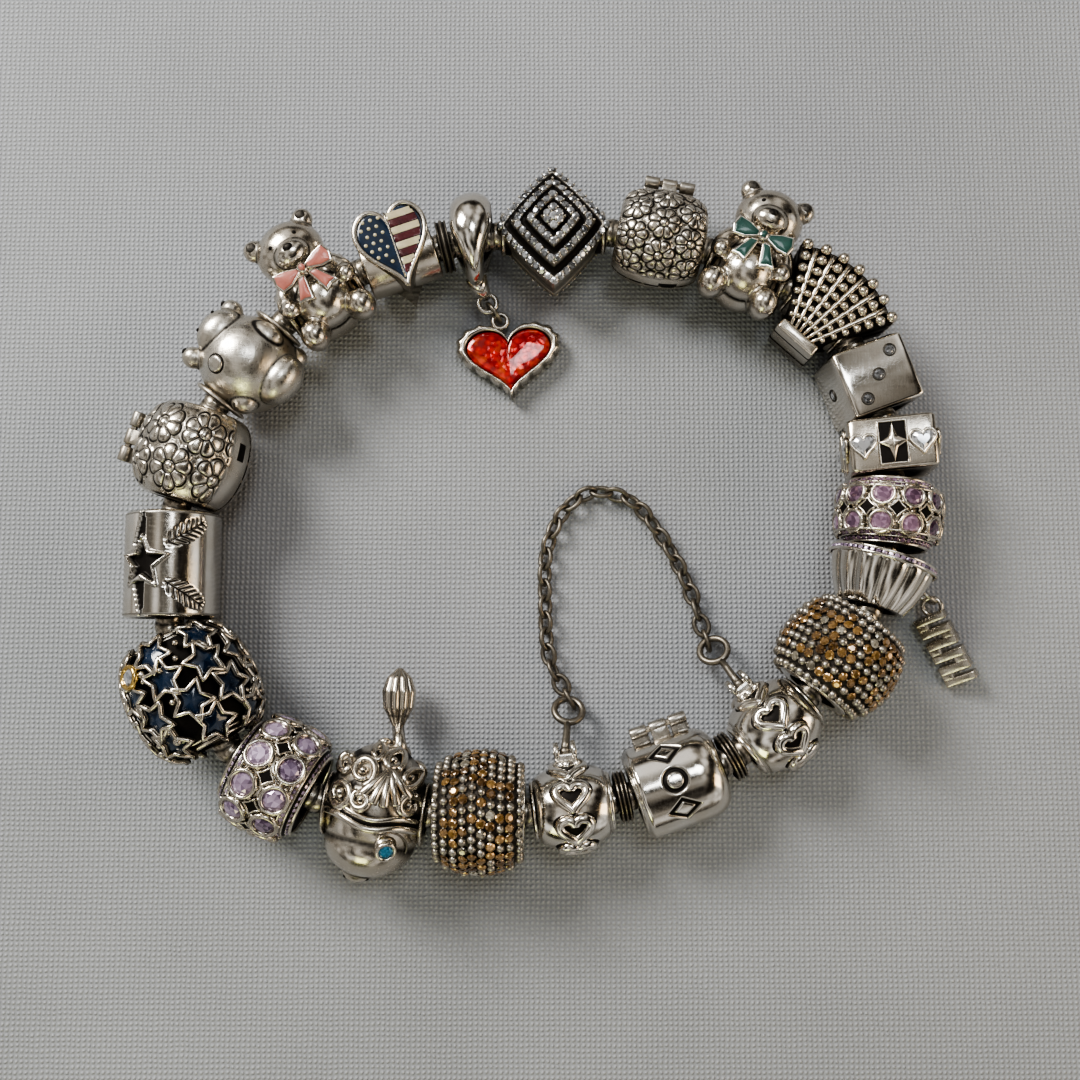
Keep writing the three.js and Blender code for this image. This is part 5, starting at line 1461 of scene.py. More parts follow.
def add_pendant_frame(shape):
    """A heart rim with a crimped outer edge that is notched like a bottle cap."""
    count = 336
    t = np.arange(count) / count
    crimp = 0.5 + 0.5 * np.cos(2 * np.pi * 26 * t)
    outer = heart_outline(11.2, 8.6, count)
    rows, marks = [], []
    steps = [
        (0.70, 0.05, 0.0, 0.0), (0.93, 0.0, 0.3, 0.0), (0.985, 0.5, 1.0, 0.0), (0.99, 1.3, 1.0, 0.0),
        (0.955, 1.95, 0.8, 0.0), (0.88, 2.2, 0.35, 0.0), (0.81, 2.18, 0.0, 0.1), (0.78, 1.85, 0.0, 0.9),
        (0.77, 1.2, 0.0, 1.0), (0.6, 1.15, 0.0, 1.0),
    ]
    for share, z, groove, dark in steps:
        bulge = share - 0.05 * groove * (1 - crimp)
        rows.append(pendant_place(outer * bulge[:, None], TABLE + z))
        marks.append(np.clip(dark + 0.55 * groove * (crimp < 0.2), 0, 1))
    add_domed(shape, np.stack(rows), mark=np.stack(marks))
    add_ring(shape, (1.39, -7.76, TABLE + 1.44), 0.75, 0.25, (0, 0, 0), 0.2)


def add_pendant_enamel(shape):
    """The heart's glassy fill, gently domed."""
    outline = heart_outline(11.2, 8.6, 120)
    steps = [
        (0.03, 1.2), (0.775, 1.2), (0.777, 1.78), (0.75, 1.88), (0.65, 1.97), (0.48, 2.06),
        (0.25, 2.12), (0.03, 2.14),
    ]
    add_domed(shape, np.stack([pendant_place(outline * share, TABLE + z) for share, z in steps]))


def add_diamond(shape, rng):
    """A puffed square set on its corner: three square rings of stones with black grooves between
    them, and a cluster in the middle, on both faces. An edge follows |x|^p + |y|^p = 1."""
    half_x, half_y, power, count = 5.75, 6.25, 1.1, 160
    angle = even_turn(count)

    def edge(angle):
        cos, sin = np.abs(np.cos(angle)), np.abs(np.sin(angle))
        r = (cos**power + sin**power) ** (-1 / power)
        return np.stack([half_x * r * np.cos(angle), half_y * r * np.sin(angle)], -1)

    def height(share):
        return 2.0 + 2.7 * (1 - share**2.0)

    rings = (0.93, 0.655, 0.385)
    for up in (1, -1):
        tall = 1.0 if up > 0 else 0.66
        share = np.concatenate([np.linspace(0.02, 0.985, 54), [1.0]])
        bump = sum(np.exp(-(((share - s) / 0.082) ** 4)) for s in (*rings, 0.14))
        z = up * tall * (height(share) + 0.45 * bump - 0.45)
        z[-1] = up * 1.0
        outline = edge(angle)
        rows = np.concatenate([
            outline[None] * share[:, None, None], np.broadcast_to(z[:, None, None], (len(share), count, 1)),
        ], -1)
        base = np.concatenate([outline, np.zeros((count, 1))], -1)[None]
        under = np.concatenate([outline * 0.02, np.zeros((count, 1))], -1)[None]
        dark = np.clip(1.05 - bump * 0.85, 0.15, 1)
        marks = np.concatenate([dark, [0.3, 0.5]])[:, None] + np.zeros((1, count))
        add_domed(shape, np.concatenate([rows, base, under]), mark=marks)
        fine = edge(np.linspace(0, 2 * np.pi, 1441))
        run = run_along(fine)
        for k, s in enumerate((*rings, 0.15)):
            stones = max(4, int(run[-1] * s / 0.78))
            for half_step in (0.0, 0.5):
                want = (np.arange(stones) + 0.5 * (k % 2) + half_step) / stones * run[-1] % run[-1]
                x, y = (np.interp(want, run, fine[:, i]) * s for i in (0, 1))
                away = np.stack([x, y], -1) / np.hypot(x, y)[:, None]
                z = up * tall * (height(s) + 0.06) + 0 * x
                normal = np.column_stack([away * 2.7 * 2 * s / 6.0 * tall, np.full(stones, up)])
                if half_step == 0.0:
                    loose = normal + rng.normal(0, 0.08, normal.shape)
                    places = frames(np.stack([x, y, z], -1), loose, rng.uniform(0, 1, stones))
                    add_stones(shape, places, 0.4, 1, rng, 6, 0.0, 0.9)
                    continue
                for off in (-0.27, 0.27):
                    beside = np.stack([x, y], -1) + away * off
                    spots = np.column_stack([beside, z - up * (0.04 + off * 0.2)])
                    add_balls(shape, frames(spots, normal), 0.15, 0, 6, 4, 0.2)
        add_stones(shape, frames([[0, 0, up * tall * 4.75]], [[0, 0, up]]), 0.42, 1, rng, 8, 0.2, 0.9)
    add_end_rings(shape, 10.6, 2.2, 1.62, 0.5)
    add_rod(shape, 2.0, 10.2, sides=48, mark=0.9)


def add_fan(shape):
    """An open fan: ribs of beads that grow outwards with a smooth blade between each pair, from
    a banded bar at the pivot, over the tube that the chain runs through."""
    pivot, reach, spread, ribs, face = -6.4, 11.6, 58.0, 7, 2.75
    add_rod(shape, 2.35, 6.8, sides=64, edge=0.2, mark=0.55)
    add_end_rings(shape, 7.0, 2.5)
    add_box(shape, (4.6, 1.2, 6.4), (0, -4.1, 0), 0.3)
    for z in (-1.4, 1.4):
        add_box(shape, (4.7, 1.3, 0.14), (0, -4.1, z), 0.04, mark=1.0)
    fan = np.linspace(0.24, 1.0, 20)[:, None]
    lean = np.radians(np.linspace(-spread / 2 - 3, spread / 2 + 3, 41))[None]
    broad_patches = (lean - lean[0, 0]) / (lean[0, -1] - lean[0, 0]) * np.pi * ribs
    rise = face - 0.25 + 0.35 * np.abs(np.cos(broad_patches)) * fan

    def ring(grid):
        return np.concatenate([grid[0], grid[1:, -1], grid[-1, -2::-1], grid[-2:0:-1, 0]])

    for up in (1, -1):
        x, y = np.sin(lean) * reach * fan * 0.97, pivot + np.cos(lean) * reach * fan * 0.97
        top = np.stack([x, y, up * (rise - 0.3)], -1)
        low = np.stack([x, y, 0 * x], -1)
        middle = ring(top).mean(0)
        inner = [middle + (ring(top) - middle) * s for s in (0.66, 0.33, 0.02)]
        for row in inner:
            row[:, 2] = up * (face - 0.2)
        add_domed(shape, np.stack([ring(low), ring(top), *inner]), mark=0.8)
    for i in range(2 * ribs - 1):
        angle = math.radians(spread * (i / (2 * ribs - 2) - 0.5))
        way = np.array([math.sin(angle), math.cos(angle), 0.0])
        start = np.array([0, pivot, 0.0])
        shares = np.linspace(0.36, 0.97, 7)
        for up in (1, -1):
            high = np.array([0, 0, up * (face - 0.05)])
            if i % 2 == 0:
                for share, r in zip(shares, np.linspace(0.36, 0.72, 7)):
                    spot = start + way * reach * share + high * 1.06
                    add_ball(shape, spot, r * np.array([0.82, 0.82, 0.95]), 12, 7)
            else:
                ends = np.linspace(0.24, 0.95, 8)[:, None]
                path = start + way * reach * ends + high * 0.97
                add_tube(shape, path, 0.08 + 0.34 * ends[:, 0], 12)
    for z in (-1.4, 0.0, 1.4):
        for angle in np.radians(np.linspace(-spread / 2, spread / 2, ribs)):
            spot = (math.sin(angle) * reach * 0.97, pivot + math.cos(angle) * reach * 0.97, z)
            add_ball(shape, spot, 0.62, 16, 10)


def add_square_body(shape, width, side, edge, count=84):
    """A square bar along the chain with rounded corners, its bore left open."""
    half = side / 2
    turn = even_turn(count) + np.pi / count
    cos, sin = np.cos(turn), np.sin(turn)
    power = 0.12 + 0.02 * edge
    y = np.sign(cos) * np.abs(cos) ** power
    z = np.sign(sin) * np.abs(sin) ** power
    ends = width / 2
    outside = (
        (-ends, half - 0.35), (-ends + 0.1, half - 0.1), (-ends + 0.35, half),
        (ends - 0.35, half), (ends - 0.1, half - 0.1), (ends, half - 0.35),
    )
    rows = [np.stack([np.full(count, x), y * size, z * size], -1) for x, size in outside]
    for x in (ends, ends - 0.5, -ends + 0.5, -ends):
        rows.append(np.stack([np.full(count, x), BORE * cos, BORE * sin], -1))
    mark = np.zeros((len(rows), count))
    # The bore is painted dark as shade.
    mark[len(outside):] = 0.95
    shape.add(*lattice(np.stack(rows), around_u=True, around_v=True), mark=mark)


def face_place(around, x, y, radius):
    """A placement on a side of a square charm: Z out of the side, X along the chain."""
    a = math.radians(around)
    out = np.array([0, math.cos(a), math.sin(a)])
    side = np.cross(out, [1, 0, 0])
    return np.array([1, 0, 0]) * x + side * y + out * radius, out


def add_dice(shape, rng):
    """A polished cube with small clear stones in dark rings for its pips."""
    width, side = 6.8, 7.4
    add_square_body(shape, width, side, 0.5)
    off = width * 0.28
    for around, spots in (
        (90, [(-off, off), (0, 0), (off, -off)]), (180, [(0, 0)]),
        (0, [(x, y) for x in (-off, 0, off) for y in (-off, off)]),
        (270, [(-off, -off), (off, off)]),
    ):
        for x, y in spots:
            spot, out = face_place(around, x, y, side / 2 - 0.03)
            place = frames([spot], [out])
            add_rims(shape, place, 0.58, 0.17, 0, 28, 0.7)
            add_stones(shape, place, 0.5, 1, rng, 8, 0.1, 0.8)


def add_heart_stone(shape, spot, out, size, rng, slot):
    """A heart cut stone: a table in a ring of facets, in a rounded bezel."""
    outline = heart_outline(size, size, 20) - [0, size * 0.04]
    place = frames([spot], [out], math.pi / 2)[0]

    def lay(share, z):
        return np.column_stack([outline * share, np.full(20, z)]) @ place[:, :3].T + place[:, 3]

    table, crown, girdle = lay(0.5, 0.42), lay(0.78, 0.3), lay(0.95, 0.05)
    middle = table.mean(0)
    after = np.roll(np.arange(20), -1)
    parts = [
        np.stack([np.broadcast_to(middle, (20, 3)), table, table[after]], 1),
        np.stack([table, crown, table[after]], 1), np.stack([crown, crown[after], table[after]], 1),
        np.stack([crown, girdle, crown[after]], 1), np.stack([girdle, girdle[after], crown[after]], 1),
        np.stack([girdle, np.broadcast_to(middle - np.array(out) * 0.6, (20, 3)), girdle[after]], 1),
    ]
    points = np.concatenate(parts)
    # Painted sparkle: a random brightness for each facet and a steady one for the table, in place of
    # reflected light.
    mark = np.repeat(rng.uniform(0.3, 1.0, len(points)), 3)
    mark[:60] = 0.8
    faces = np.arange(len(points) * 3).reshape(-1, 3)
    shape.add(points, faces, slot=slot, mark=mark, smooth=False)
    bezel = lay(1.04, 0.08)
    bezel = np.vstack([bezel, bezel[:1]])
    fine = np.linspace(0, 20, 80, endpoint=False)
    ring = np.stack([np.interp(fine, np.arange(21), bezel[:, i]) for i in range(3)], -1)
    add_tube(shape, ring, 0.17, 8, closed=True)


def add_heart_block(shape, rng):
    """A square block: on each side two heart cut stones in bezels, near the edges, and a raised
    four-pointed motif over a dark ground between them."""
    width, side = 5.2, 8.6
    add_square_body(shape, width, side - 0.3, 0.9)
    for around in (0, 90, 180, 270):
        for y in (-2.72, 2.72):
            spot, out = face_place(around, 0.1, y, side / 2 - 0.1)
            add_heart_stone(shape, spot, out, 2.35, rng, 1)
        centre, out = face_place(around, 0.0, 0.0, side / 2 - 0.14)
        place = frames([centre], [out])[0]
        ground, motif, border = Shape(), Shape(), Shape()
        fill = filled(np.array([(-2.05, -1.3), (2.05, -1.3), (2.05, 1.3), (-2.05, 1.3)]), 8)
        add_plate(ground, fill, -0.3, 0.03, 0.02)
        inset(shape, ground, place, mark=0.9)
        add_plate(motif, star_outline(1.9, 0.42, 4, 6) * [1, 0.72], -0.2, 0.3, 0.1, 0.2)
        inset(shape, motif, place)
        add_tube(border, np.column_stack([fill, np.full(len(fill), 0.06)]), 0.13, 8, closed=True)
        inset(shape, border, place)


def add_fluted_bail(shape, rng):
    """A cup-shaped bail that narrows along the chain in rounded flutes, with a row of tiny stones
    at its wide rim."""
    width, wide, narrow, flutes = 5.2, 5.15, 3.4, 12
    half = width / 2
    x = np.linspace(-half + 0.55, half, 60)
    share = (x + half) / width
    r = wide - 0.2 - (wide - narrow) * share**1.8

    def rise(x, turn):
        fade = smooth_step(-half + 0.5, -half + 1.1, x)
        return fade * (0.34 * np.abs(np.cos(flutes / 2 * turn)) ** 0.7 - 0.26)

    def shade(x, turn):
        fade = smooth_step(-half + 0.5, -half + 1.1, x)
        return 0.6 * fade * smooth_step(0.22, 0.02, np.abs(np.cos(flutes / 2 * turn)))

    add_bead(shape, x, r, [(half - 0.05, BORE), (-half + 0.6, BORE)], 144, rise, shade)
    for at, high in ((-half + 0.16, wide - 0.18), (-half + 0.72, wide - 0.02)):
        add_band(shape, at, high, 0.16)
    add_rod(shape, wide - 0.25, 0.5, (-half + 0.35, 0, 0), "X", 0.06, 72, mark=0.8)
    count = 54
    turn = 2 * np.pi * np.arange(count) / count
    normal = np.stack([0 * turn, np.cos(turn), np.sin(turn)], -1)
    spot = normal * (wide - 0.12) + [-half + 0.44, 0, 0]
    add_stones(shape, frames(spot, normal), 0.25, 1, rng, 5, 0.0, 0.8)
    lug = np.column_stack([circle(0.95, 40), np.zeros(40)]) @ np.array(turned(-35, "X"))[:3, :3].T
    add_tube(shape, lug + np.array([-0.9, 4.59, -3.21]), 0.27, 10, closed=True)


def add_tag(shape):
    """A slotted flat tag: bars joined at one side and the other by turns, on a small loop."""
    width, length, thick, slits, slit = 3.2, 7.4, 1.3, 5, 0.42
    cuts = [length * ((i + 0.75) / (slits + 0.5) - 0.5) for i in range(slits)]
    edges = [-length / 2, *cuts, length / 2]
    for k, (low, high) in enumerate(zip(edges[:-1], edges[1:])):
        low += slit / 2 if k else 0
        high -= slit / 2 if k < slits else 0
        add_box(shape, (width, high - low, thick), (0, (low + high) / 2, 0), 0.12, mark=0.2)
    for i, y in enumerate(cuts):
        side = -1 if i % 2 else 1
        joint = (width * 0.36, slit + 0.3, thick - 0.06)
        add_box(shape, joint, (side * width * 0.3, y, 0), 0.05, mark=0.2)
    loop = np.column_stack([circle(0.9, 40) + [-0.7, -length / 2 - 0.65], np.zeros(40)])
    add_tube(shape, loop, 0.24, 10, closed=True)


def add_collar(shape, width, radius, ridges, mark):
    """A ring round the chain with turned ridges that are dark between them."""
    half = width / 2

    def wave(x):
        return np.cos(2 * np.pi * ridges * x / width)

    def shade(x, turn):
        return np.clip(mark + 0.9 * (wave(x) < -0.5), 0, 1)

    x = np.linspace(-half, half, 40)
    r = radius - 0.12 + 0.12 * wave(x) - 0.18 * smooth_step(0.8, 1, np.abs(x) / half)
    add_bead(shape, x, r, [(half, 2.0), (-half, 2.0)], 60, None, shade)


# Chains
def snake_path():
    """The snake chain's bends: straight within each charm wider than 3 mm, turning in the gaps."""
    wide = [(row[0], row[1]) for row in THREADED if row[1] > 3]

    def spot(name, along):
        x, y, z, heading = SEATS[name]
        return np.array([x + along * math.cos(heading), y + along * math.sin(heading), z])

    bends = [
        (spot(name, width / 2) + spot(following, -next_width / 2)) / 2
        for (name, width), (following, next_width) in zip(wide, wide[1:] + wide[:1])
    ]
    return np.array([spot("clasp", 2.3), *bends, spot("clasp", -2.3)])


def add_snake_chain(shape):
    """The rope chain as a tube whose skin is ribbed by its slanted plates."""
    stops = snake_path()
    run = run_along(stops)
    along = np.arange(0, run[-1], 0.22)
    path = np.stack([np.interp(along, run, stops[:, i]) for i in range(3)], -1)
    soft = path.copy()
    for _ in range(4):
        soft[1:-1] = (soft[:-2] + 2 * soft[1:-1] + soft[2:]) / 4
    ahead = np.gradient(soft, axis=0)
    ahead /= np.linalg.norm(ahead, axis=1, keepdims=True)
    side = np.cross(ahead, [0, 0, 1.0])
    side /= np.linalg.norm(side, axis=1, keepdims=True)
    up = np.cross(side, ahead)
    cos, sin = circle(1.0, 18).T[:, None, :, None]
    weave = np.abs(np.sin(along[:, None] * np.pi / 0.88 + 2.2 * np.abs(sin[..., 0])))
    r = (CHAIN_RADIUS - 0.1 + 0.1 * weave)[..., None]
    rows = soft[:, None] + r * (side[:, None] * cos + up[:, None] * sin)
    add_domed(shape, rows, mark=np.clip(1 - 1.6 * weave, 0, 1))


def eye_place(name, spin):
    """Where an eye hangs from its heart bead: turned by spin and tipped down to the table."""
    return seat(name) @ Matrix.Translation((0, -5.2, 0)) @ turned(spin, "Z") @ turned(38, "X")


EYES = {"heart_clip_left": -14, "heart_clip_right": -10}


def safety_path():
    """A centripetal curve through the safety chain's chosen points between the two eyes."""
    tips = [np.array(eye_place(name, spin) @ Vector((0, -6.2, 0))) for name, spin in EYES.items()]
    shift = np.array(SHIFT)
    middle = [np.array([x * ROUTE_SCALE, y * ROUTE_SCALE, 1.025]) + shift for x, y in SAFETY_ROUTE]
    points = np.array([tips[0], *middle, tips[1]])
    points = np.vstack([2 * points[0] - points[1], points, 2 * points[-1] - points[-2]])
    knots = np.sqrt(np.linalg.norm(np.diff(points, axis=0), axis=1))
    t = np.linspace(0, 1, 100, endpoint=False)[:, None]
    pieces = []
    for i in range(1, len(points) - 2):
        before, start, end, after = points[i - 1:i + 3]
        d0, d1, d2 = knots[i - 1:i + 2]
        slope_in = ((start - before) / d0 - (end - before) / (d0 + d1) + (end - start) / d1) * d1
        slope_out = ((end - start) / d1 - (after - start) / (d1 + d2) + (after - end) / d2) * d1
        pieces.append(cubic(start, end, slope_in, slope_out, t))
    path = np.vstack([*pieces, points[-2:-1]])
    return path, run_along(path)


def add_safety_chain(shape, links, width, wire):
    """Oval links along the path, each turned a quarter from the last."""
    path, run = safety_path()
    pitch = run[-1] / links
    around = even_turn(24)[:, None]
    section = even_turn(8)[None]
    long, across = (pitch + wire * 0.96) / 2, (width - wire) / 2
    thick = wire / 2
    link = np.stack([
        (long + thick * np.cos(section)) * np.cos(around),
        (across + thick * np.cos(section)) * np.sin(around),
        thick * np.sin(section) + 0 * around,
    ], -1)
    points, quads = lattice(link, around_u=True, around_v=True)

    def along_path(length):
        return np.array([np.interp(length, run, path[:, k]) for k in range(3)])

    for i in range(links + 1):
        want = run[-1] * i / links
        at = along_path(want)
        ahead = along_path(want + 0.5) - along_path(want - 0.5)
        ahead = ahead / np.linalg.norm(ahead)
        side = np.cross([0, 0, 1.0], ahead)
        side /= np.linalg.norm(side)
        start, end = max(0, 1 - i / 4), max(0, 1 - (links - i) / 4)
        roll = math.radians(45 + 90 * i + 45 * (start + (-end if links % 2 else end)))
        over = np.cross(ahead, side)
        one = side * math.cos(roll) + over * math.sin(roll)
        two = np.cross(ahead, one)
        shape.add(points @ np.stack([ahead, one, two]) + at, quads, mark=0.42)


# What a user can set
class BraceletSizes(bpy.types.PropertyGroup):
    """Sizes of the pieces that are built anew here."""

    links: IntProperty(name="Safety links", description="Links in the safety chain", default=27, min=10)
    link_width: FloatProperty(
        name="Link width", description="Width of a safety link", default=1.9 * MM, unit="LENGTH")
    link_wire: FloatProperty(
        name="Link wire", description="Wire of a safety link", default=0.48 * MM, unit="LENGTH")
    seed: IntProperty(name="Stone seed", description="Seed of the stones' tones", default=7)


class BraceletStudio(bpy.types.PropertyGroup):
    """The camera's place and the studio's light."""

    camera_height: FloatProperty(
        name="Elevation", description="Camera angle above the horizon",
        default=math.radians(84), subtype="ANGLE")
    camera_distance: FloatProperty(
        name="Distance", description="From the camera to the charms", default=0.1029, unit="LENGTH")
    window: FloatProperty(name="Window", description="Power of the large soft window", default=0.5)
    floor_colour: FloatVectorProperty(
        name="Floor", description="Colour of the floor", subtype="COLOR", size=3,
        default=(0.35, 0.36, 0.38))


def stones_rng(context, step=0):
    """The random draws of one piece, from the seed that the user sets."""
    return np.random.default_rng(context.scene.bracelet_sizes.seed + step)


def dress(name, node, place, looks, slot, add, *values, body=ROOT):
    """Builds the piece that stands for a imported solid, from the function that adds its surfaces."""
    shape = Shape()
    add(shape, *values)
    shape.build(name, place, finishes(*looks), slot, body, (node,))


class BRACELET_OT_clasp(bpy.types.Operator):
    """Build the barrel clasp's two halves"""

    bl_idname = "bracelet.clasp"
    bl_label = "Clasp"

    def execute(self, context):
        for lid, body in ((False, ROOT), (True, "clasp_top")):
            node = "clasp_lid" if lid else "clasp_body"
            place, look = seat("clasp"), ("polished",)
            dress(f"barrel_{node}", node, place, look, "silver", add_clasp_half, lid, body=body)
        return {"FINISHED"}


class BRACELET_OT_heart_clips(bpy.types.Operator):
    """Build the two heart beads and the eyes that the safety chain hangs from"""

    bl_idname = "bracelet.heart_clips"
    bl_label = "Heart clips"

    def execute(self, context):
        for name, spin in EYES.items():
            dress(f"{name}_ball", name, seat(name), ("polished",), "silver", add_heart_clip)
            place = eye_place(name, spin)
            dress(f"{name}_ring", f"{name}_eye", place, ("worn",), "dark_silver", add_eye)
        return {"FINISHED"}


class BRACELET_OT_amber_beads(bpy.types.Operator):
    """Build the two balls set with amber stones and silver domes"""

    bl_idname = "bracelet.amber_beads"
    bl_label = "Amber beads"

    def execute(self, context):
        looks = ("polished", "black", "champagne", "pale", "cast")
        for step, name in enumerate(("amber_bead_left", "amber_bead_right")):
            rng = stones_rng(context, step)
            dress(f"{name}_paved", name, seat(name), looks, "amber_stones", add_pave, rng)
        return {"FINISHED"}


class BRACELET_OT_lilac_beads(bpy.types.Operator):
    """Build the two balls with rows of lilac stones"""

    bl_idname = "bracelet.lilac_beads"
    bl_label = "Lilac beads"

    def execute(self, context):
        for name, size, stone in (
            ("lilac_bead_left", (7.7, 5.7, 4.0, 11, 1.12), "lilac"),
            ("lilac_bead_right", (6.4, 5.3, 3.9, 11, 0.94), "plum"),
        ):
            looks, rng = ("cast", "black", stone), stones_rng(context, 3)
            dress(f"{name}_set", name, seat(name), looks, "lilac_stones", add_lilac, rng, *size)
        return {"FINISHED"}


class BRACELET_OT_star_beads(bpy.types.Operator):
    """Build the open ball of stars and the barrel with a star in its side"""

    bl_idname = "bracelet.star_beads"
    bl_label = "Star beads"

    def execute(self, context):
        looks = ("cast", "black", "navy", "clear", "gold")
        ball, barrel, rng = seat("star_ball"), seat("star_barrel"), stones_rng(context, 5)
        dress("star_ball_stars", "star_ball", ball, looks, "dark_silver", add_star_ball, rng)
        dress("star_barrel_body", "star_barrel", barrel, ("polished",), "silver", add_star_barrel)
        return {"FINISHED"}


class BRACELET_OT_daisy_clips(bpy.types.Operator):
    """Build the two hinged clips that are covered in daisies"""

    bl_idname = "bracelet.daisy_clips"
    bl_label = "Daisy clips"

    def execute(self, context):
        for name, top, size, covered in (
            ("daisy_clip_left", "daisy_left_top", (9.4, 5.55, 2.9, 2.15, 1.1), (-0.3, 2.2)),
            ("daisy_clip_right", "daisy_right_top", (8.8, 4.95, 2.8, 1.6, 1.0), (-0.3, 2.45)),
        ):
            for lid, body in ((False, ROOT), (True, top)):
                node = f"{name}_{'lid' if lid else 'body'}"
                values = (lid, *size, covered)
                dress(f"{node}_shell", node, seat(name), ("cast",), "silver", add_clip_half, *values,
                      body=body)
        return {"FINISHED"}


class BRACELET_OT_hippo(bpy.types.Operator):
    """Build the plump resting animal"""

    bl_idname = "bracelet.hippo"
    bl_label = "Plump animal"

    def execute(self, context):
        dress("hippo_cast", "hippo", seat("hippo"), ("satin",), "silver", add_hippo)
        return {"FINISHED"}


class BRACELET_OT_bears(bpy.types.Operator):
    """Build the two bears and their enamelled bows"""

    bl_idname = "bracelet.bears"
    bl_label = "Bears"

    def execute(self, context):
        for name, tip, enamel in (("bear_pink", 4, "pink"), ("bear_green", 0, "green")):
            place = seat(name, tip)
            dress(f"{name}_cast", name, place, ("cast",), "silver", add_bear)
            looks = ("polished", enamel)
            dress(f"{name}_ribbon", f"{name}_bow", place, looks, f"{enamel}_enamel", add_bow)
        return {"FINISHED"}


class BRACELET_OT_fish(bpy.types.Operator):
    """Build the fish"""

    bl_idname = "bracelet.fish"
    bl_label = "Fish"

    def execute(self, context):
        looks, rng = ("cast", "blue"), stones_rng(context, 8)
        dress("fish_cast", "fish", seat("fish"), looks, "silver", add_fish, rng)
        return {"FINISHED"}


class BRACELET_OT_plaque(bpy.types.Operator):
    """Build the heart plaque and its enamelled face"""

    bl_idname = "bracelet.plaque"
    bl_label = "Heart plaque"

    def execute(self, context):
        place, looks = seat("plaque"), ("navy", "maroon", "cream", "cast")
        dress("plaque_plate", "plaque", place, ("cast",), "silver", add_plaque)
        dress("plaque_face", "plaque_enamel", place, looks, "navy_enamel", add_plaque_enamel)
        return {"FINISHED"}


class BRACELET_OT_bails(bpy.types.Operator):
    """Build the two bails with the heart pendant and the slotted tag that lie by them"""

    bl_idname = "bracelet.bails"
    bl_label = "Bails, pendant and tag"

    def execute(self, context):
        smooth, fluted = seat("smooth_bail"), seat("fluted_bail")
        tag_place = fluted @ Matrix.Translation((3.62, 9.56, -3.8)) @ turned(-46, "Z") @ turned(36, "Y")
        pendant_loop = ((0.91, -6.78, TABLE + 1.54), 1.15, 0.2, (0, 90, 26.6), 0.3)
        tag_loop = ((-0.61, 5.93, -3.43), 1.15, 0.2, (0, 90, -14.6), 0.2)
        dress("smooth_bail_crescent", "smooth_bail", smooth, ("polished",), "silver", add_smooth_bail)
        dress("pendant_rim", "pendant_frame", smooth, ("cast",), "silver", add_pendant_frame)
        dress("pendant_glass", "pendant_enamel", smooth, ("red",), "red_enamel", add_pendant_enamel)
        dress("pendant_jump_ring", "pendant_ring", smooth, ("worn",), "dark_silver", add_ring,
              *pendant_loop)
        dress("fluted_bail_cup", "fluted_bail", fluted, ("polished", "lilac"), "silver", add_fluted_bail,
              stones_rng(context, 9))
        dress("tag_bars", "tag", tag_place, ("cast",), "silver", add_tag)
        dress("tag_jump_ring", "tag_ring", fluted, ("cast",), "silver", add_ring, *tag_loop)
        return {"FINISHED"}


class BRACELET_OT_diamond(bpy.types.Operator):
    """Build the puffed square with rings of clear stones"""

    bl_idname = "bracelet.diamond"
    bl_label = "Paved square"

    def execute(self, context):
        looks, rng = ("cast", "clear"), stones_rng(context, 11)
        dress("diamond_paved", "diamond", seat("diamond"), looks, "clear_stones", add_diamond, rng)
        return {"FINISHED"}


class BRACELET_OT_fan(bpy.types.Operator):
    """Build the open hand fan"""

    bl_idname = "bracelet.fan"
    bl_label = "Fan"

    def execute(self, context):
        dress("fan_cast", "fan", seat("fan", 5), ("cast",), "silver", add_fan)
        return {"FINISHED"}


class BRACELET_OT_square_charms(bpy.types.Operator):
    """Build the die and the block with heart cut stones"""

    bl_idname = "bracelet.square_charms"
    bl_label = "Square charms"

    def execute(self, context):
        for node, suffix, tip, metal, add, step in (
            ("dice", "cube", 0, "polished", add_dice, 13),
            ("heart_block", "body", 12, "cast", add_heart_block, 14),
        ):
            looks, rng = (metal, "clear"), stones_rng(context, step)
            dress(f"{node}_{suffix}", node, seat(node, tip), looks, "silver", add, rng)
        return {"FINISHED"}


class BRACELET_OT_collars(bpy.types.Operator):
    """Build the threaded collars and the dark spacer"""

    bl_idname = "bracelet.collars"
    bl_label = "Collars and spacer"

    def execute(self, context):
        for name, size, slot in (
            ("collar_left", (1.2, 2.5, 3, 0.1), "silver"),
            ("collar_right", (1.2, 2.5, 3, 0.1), "silver"),
            ("spacer", (1.1, 2.7, 2, 0.45), "dark_silver"),
        ):
            dress(f"{name}_ring", name, seat(name), ("worn",), slot, add_collar, *size)
        return {"FINISHED"}


class BRACELET_OT_chains(bpy.types.Operator):
    """Build the snake chain and the safety chain"""

    bl_idname = "bracelet.chains"
    bl_label = "Chains"

    def execute(self, context):
        sizes = context.scene.bracelet_sizes
        look, route = ("worn",), Matrix.Translation(SHIFT)
        link = (sizes.links, sizes.link_width / MM, sizes.link_wire / MM)
        dress("snake_chain_rope", "snake_chain", route, look, "dark_silver", add_snake_chain)
        dress("safety_chain_links", "safety_chain", Matrix.Identity(4), look, "dark_silver",
              add_safety_chain, *link)
        for node in ("clasp_pin", "chain_knob", "daisy_clip_left_pin", "daisy_clip_right_pin"):
            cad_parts[node].data.materials.clear()
            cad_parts[node].data.materials.append(FINISHES["worn"])
        return {"FINISHED"}


class BRACELET_OT_studio(bpy.types.Operator):
    """Lay the floor, hang the lights and place the camera"""

    bl_idname = "bracelet.studio"
    bl_label = "Studio"

    def execute(self, context):
        studio = context.scene.bracelet_studio
        make_floor(studio)
        make_lights(studio)
        make_world()
        make_camera(studio)
        return {"FINISHED"}


